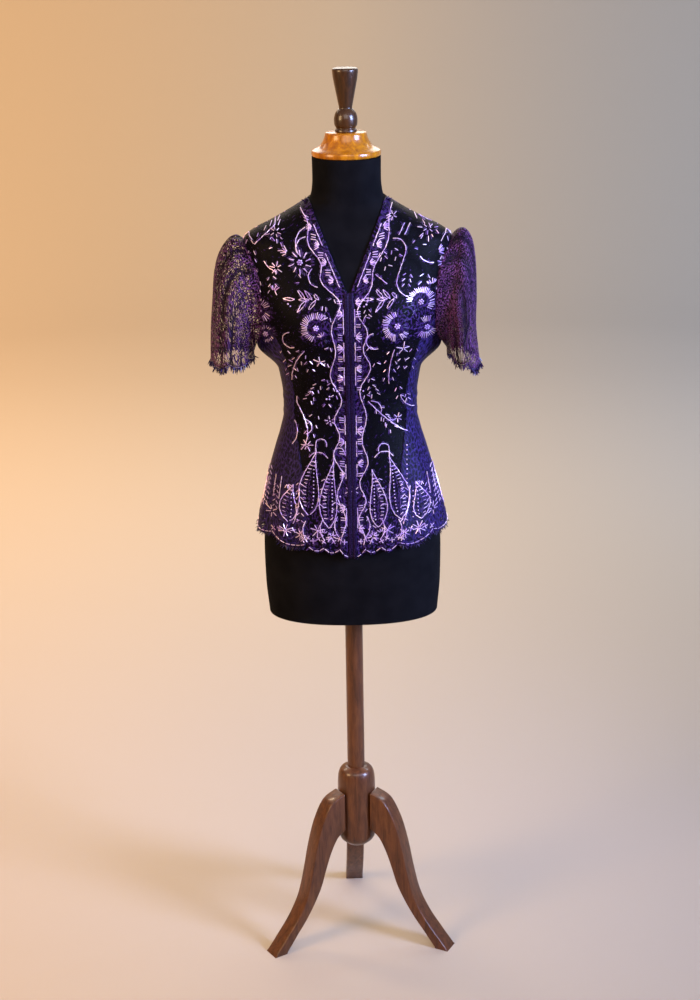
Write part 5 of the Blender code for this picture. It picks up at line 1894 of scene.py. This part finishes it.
for helper in (BUGLE, SEED, STITCH, LASH):
    bpy.data.objects.remove(helper)

# %% [markdown]
# ## Cloth sheets
#
# Each cloth is listed with the size it was cut to, and its worn area is printed beside the cut's area.
# The cut is a little larger than the piece where it is gathered, as the sleeves are.

# %% The sheets' cuts
Cut = namedtuple("Cut", "piece width length area held rests")
CUTS = (
    Cut("net_front_left", 0.190, 0.620, 0.078, "draped", "torso_cover"),
    Cut("net_front_right", 0.190, 0.620, 0.078, "draped", "torso_cover"),
    Cut("lace_side_left", 0.260, 0.400, 0.074, "draped", "torso_cover"),
    Cut("lace_side_right", 0.260, 0.400, 0.074, "draped", "torso_cover"),
    Cut("net_back", 0.360, 0.620, 0.150, "draped", "torso_cover"),
    Cut("lace_sleeve_left", 0.420, 0.210, 0.068, "gathered", "net_back"),
    Cut("lace_sleeve_right", 0.420, 0.210, 0.068, "gathered", "net_back"),
    Cut("braid_left", 0.010, 0.480, None, "draped", "net_front_left"),
    Cut("braid_right", 0.010, 0.480, None, "draped", "net_front_right"),
)
for cut in CUTS:
    piece = PIECES[cut.piece]
    surface = sum(face.area for face in piece.data.polygons)
    print(cut.piece, "measures", round(surface, 4), "m2, cut", cut.area)

# %% [markdown]
# ## Floor and light
#
# The set is a pale floor that curves up into a wall all round, with warm light painted on its left and
# cool light on its right. It is lit softly: warm from the left, cool from the right, with a wide soft
# light in front and one behind so that the dark cloth keeps its drawing, and two lamps that wash the
# wall.

# %% The floor
FLOOR_RADIUS, WALL_HEIGHT = 6.8, 4.5
CURVE_RADIUS, CURVE_STEPS = 1.8, 12


def floor_with_painted_light():
    """Matt pale paint, with the warm light of the left and the cool light of the right painted into its
    colour.
    """
    material, tree, shader = finish_of("pale_floor", Roughness=0.85, Specular_IOR_Level=0.1)
    place = add(tree, "ShaderNodeTexCoord").outputs["Object"]
    x = add(tree, "ShaderNodeSeparateXYZ", Vector=place).outputs["X"]
    # Painted light: the colour is warm and brighter towards the left, cool and dimmer towards the
    # right.
    colour = ramp(tree, span(tree, x, -2.2, 2.2), (0.0, (0.50, 0.35, 0.21)), (0.5, (0.44, 0.37, 0.30)),
                  (1.0, (0.27, 0.29, 0.33)))
    tree.links.new(colour, shader.inputs["Base Color"])
    return material


bend = np.linspace(0, np.pi / 2, CURVE_STEPS)
profile = [(0.001, 0.0), (1.0, 0.0), (2.5, 0.0)]
profile += [(FLOOR_RADIUS - CURVE_RADIUS * (1 - math.sin(turn)),
             CURVE_RADIUS * (1 - math.cos(turn))) for turn in bend]
profile += [(FLOOR_RADIUS, WALL_HEIGHT)]
radius, height = (np.array(part)[:, None] for part in zip(*profile))
turns = np.linspace(0, 2 * np.pi, 96, endpoint=False)[None, :]
points = np.stack((radius * np.cos(turns), radius * np.sin(turns), height * np.ones_like(turns)),
                  axis=-1)
floor_mesh = grid_mesh("floor", points - AXIS, closed=True)
floor_mesh.materials.append(floor_with_painted_light())
floor = bpy.data.objects.new("floor", floor_mesh)
bpy.context.scene.collection.objects.link(floor)
print("floor out to", FLOOR_RADIUS, "m")

# %% The lights
Lamp = namedtuple("Lamp", "name place aim width height power spread colour")
LAMPS = (
    Lamp("warm_left", (-2.3, -1.5, 2.0), (-0.3, 0, 0.9), 1.0, 1.4, 78, 180, (1.0, 0.66, 0.34)),
    Lamp("cool_right", (2.3, -1.3, 1.9), (0.2, 0, 1.1), 0.9, 1.4, 38, 60, (0.42, 0.55, 1.0)),
    Lamp("soft_front", (0.2, -3.0, 3.0), (0, 0, 1.05), 2.4, 1.6, 45, 180, (1.0, 0.93, 0.88)),
    Lamp("soft_back", (0.0, 2.6, 2.6), (0, 0, 1.10), 2.4, 1.4, 45, 180, (1.0, 0.93, 0.86)),
    Lamp("wash_left", (-2.6, 2.4, 3.6), (-1.8, 5.4, 0.6), 1.6, 1.0, 210, 180, (1.0, 0.78, 0.54)),
    Lamp("wash_right", (2.6, 2.4, 3.6), (1.8, 5.4, 0.6), 1.6, 1.0, 130, 180, (0.80, 0.88, 1.0)),
)
for lamp in LAMPS:
    light = bpy.data.lights.new(lamp.name, "AREA")
    light.shape = "RECTANGLE"
    light.size, light.size_y = lamp.width, lamp.height
    light.energy = lamp.power
    light.color = lamp.colour
    light.spread = math.radians(lamp.spread)
    holder = bpy.data.objects.new(lamp.name, light)
    holder.location = lamp.place
    aim = Vector(lamp.aim) - Vector(lamp.place)
    holder.rotation_euler = aim.to_track_quat("-Z", "Y").to_euler()
    holder.visible_camera = False
    bpy.context.scene.collection.objects.link(holder)
world = bpy.data.worlds.new("soft_room")
bpy.context.scene.world = world
world.use_nodes = True
sky = world.node_tree.nodes["Background"]
sky.inputs["Color"].default_value = (0.86, 0.80, 0.74, 1.0)
sky.inputs["Strength"].default_value = 0.46
bpy.context.scene.view_settings.view_transform = "Standard"
print("lamps:", ", ".join(lamp.name for lamp in LAMPS))
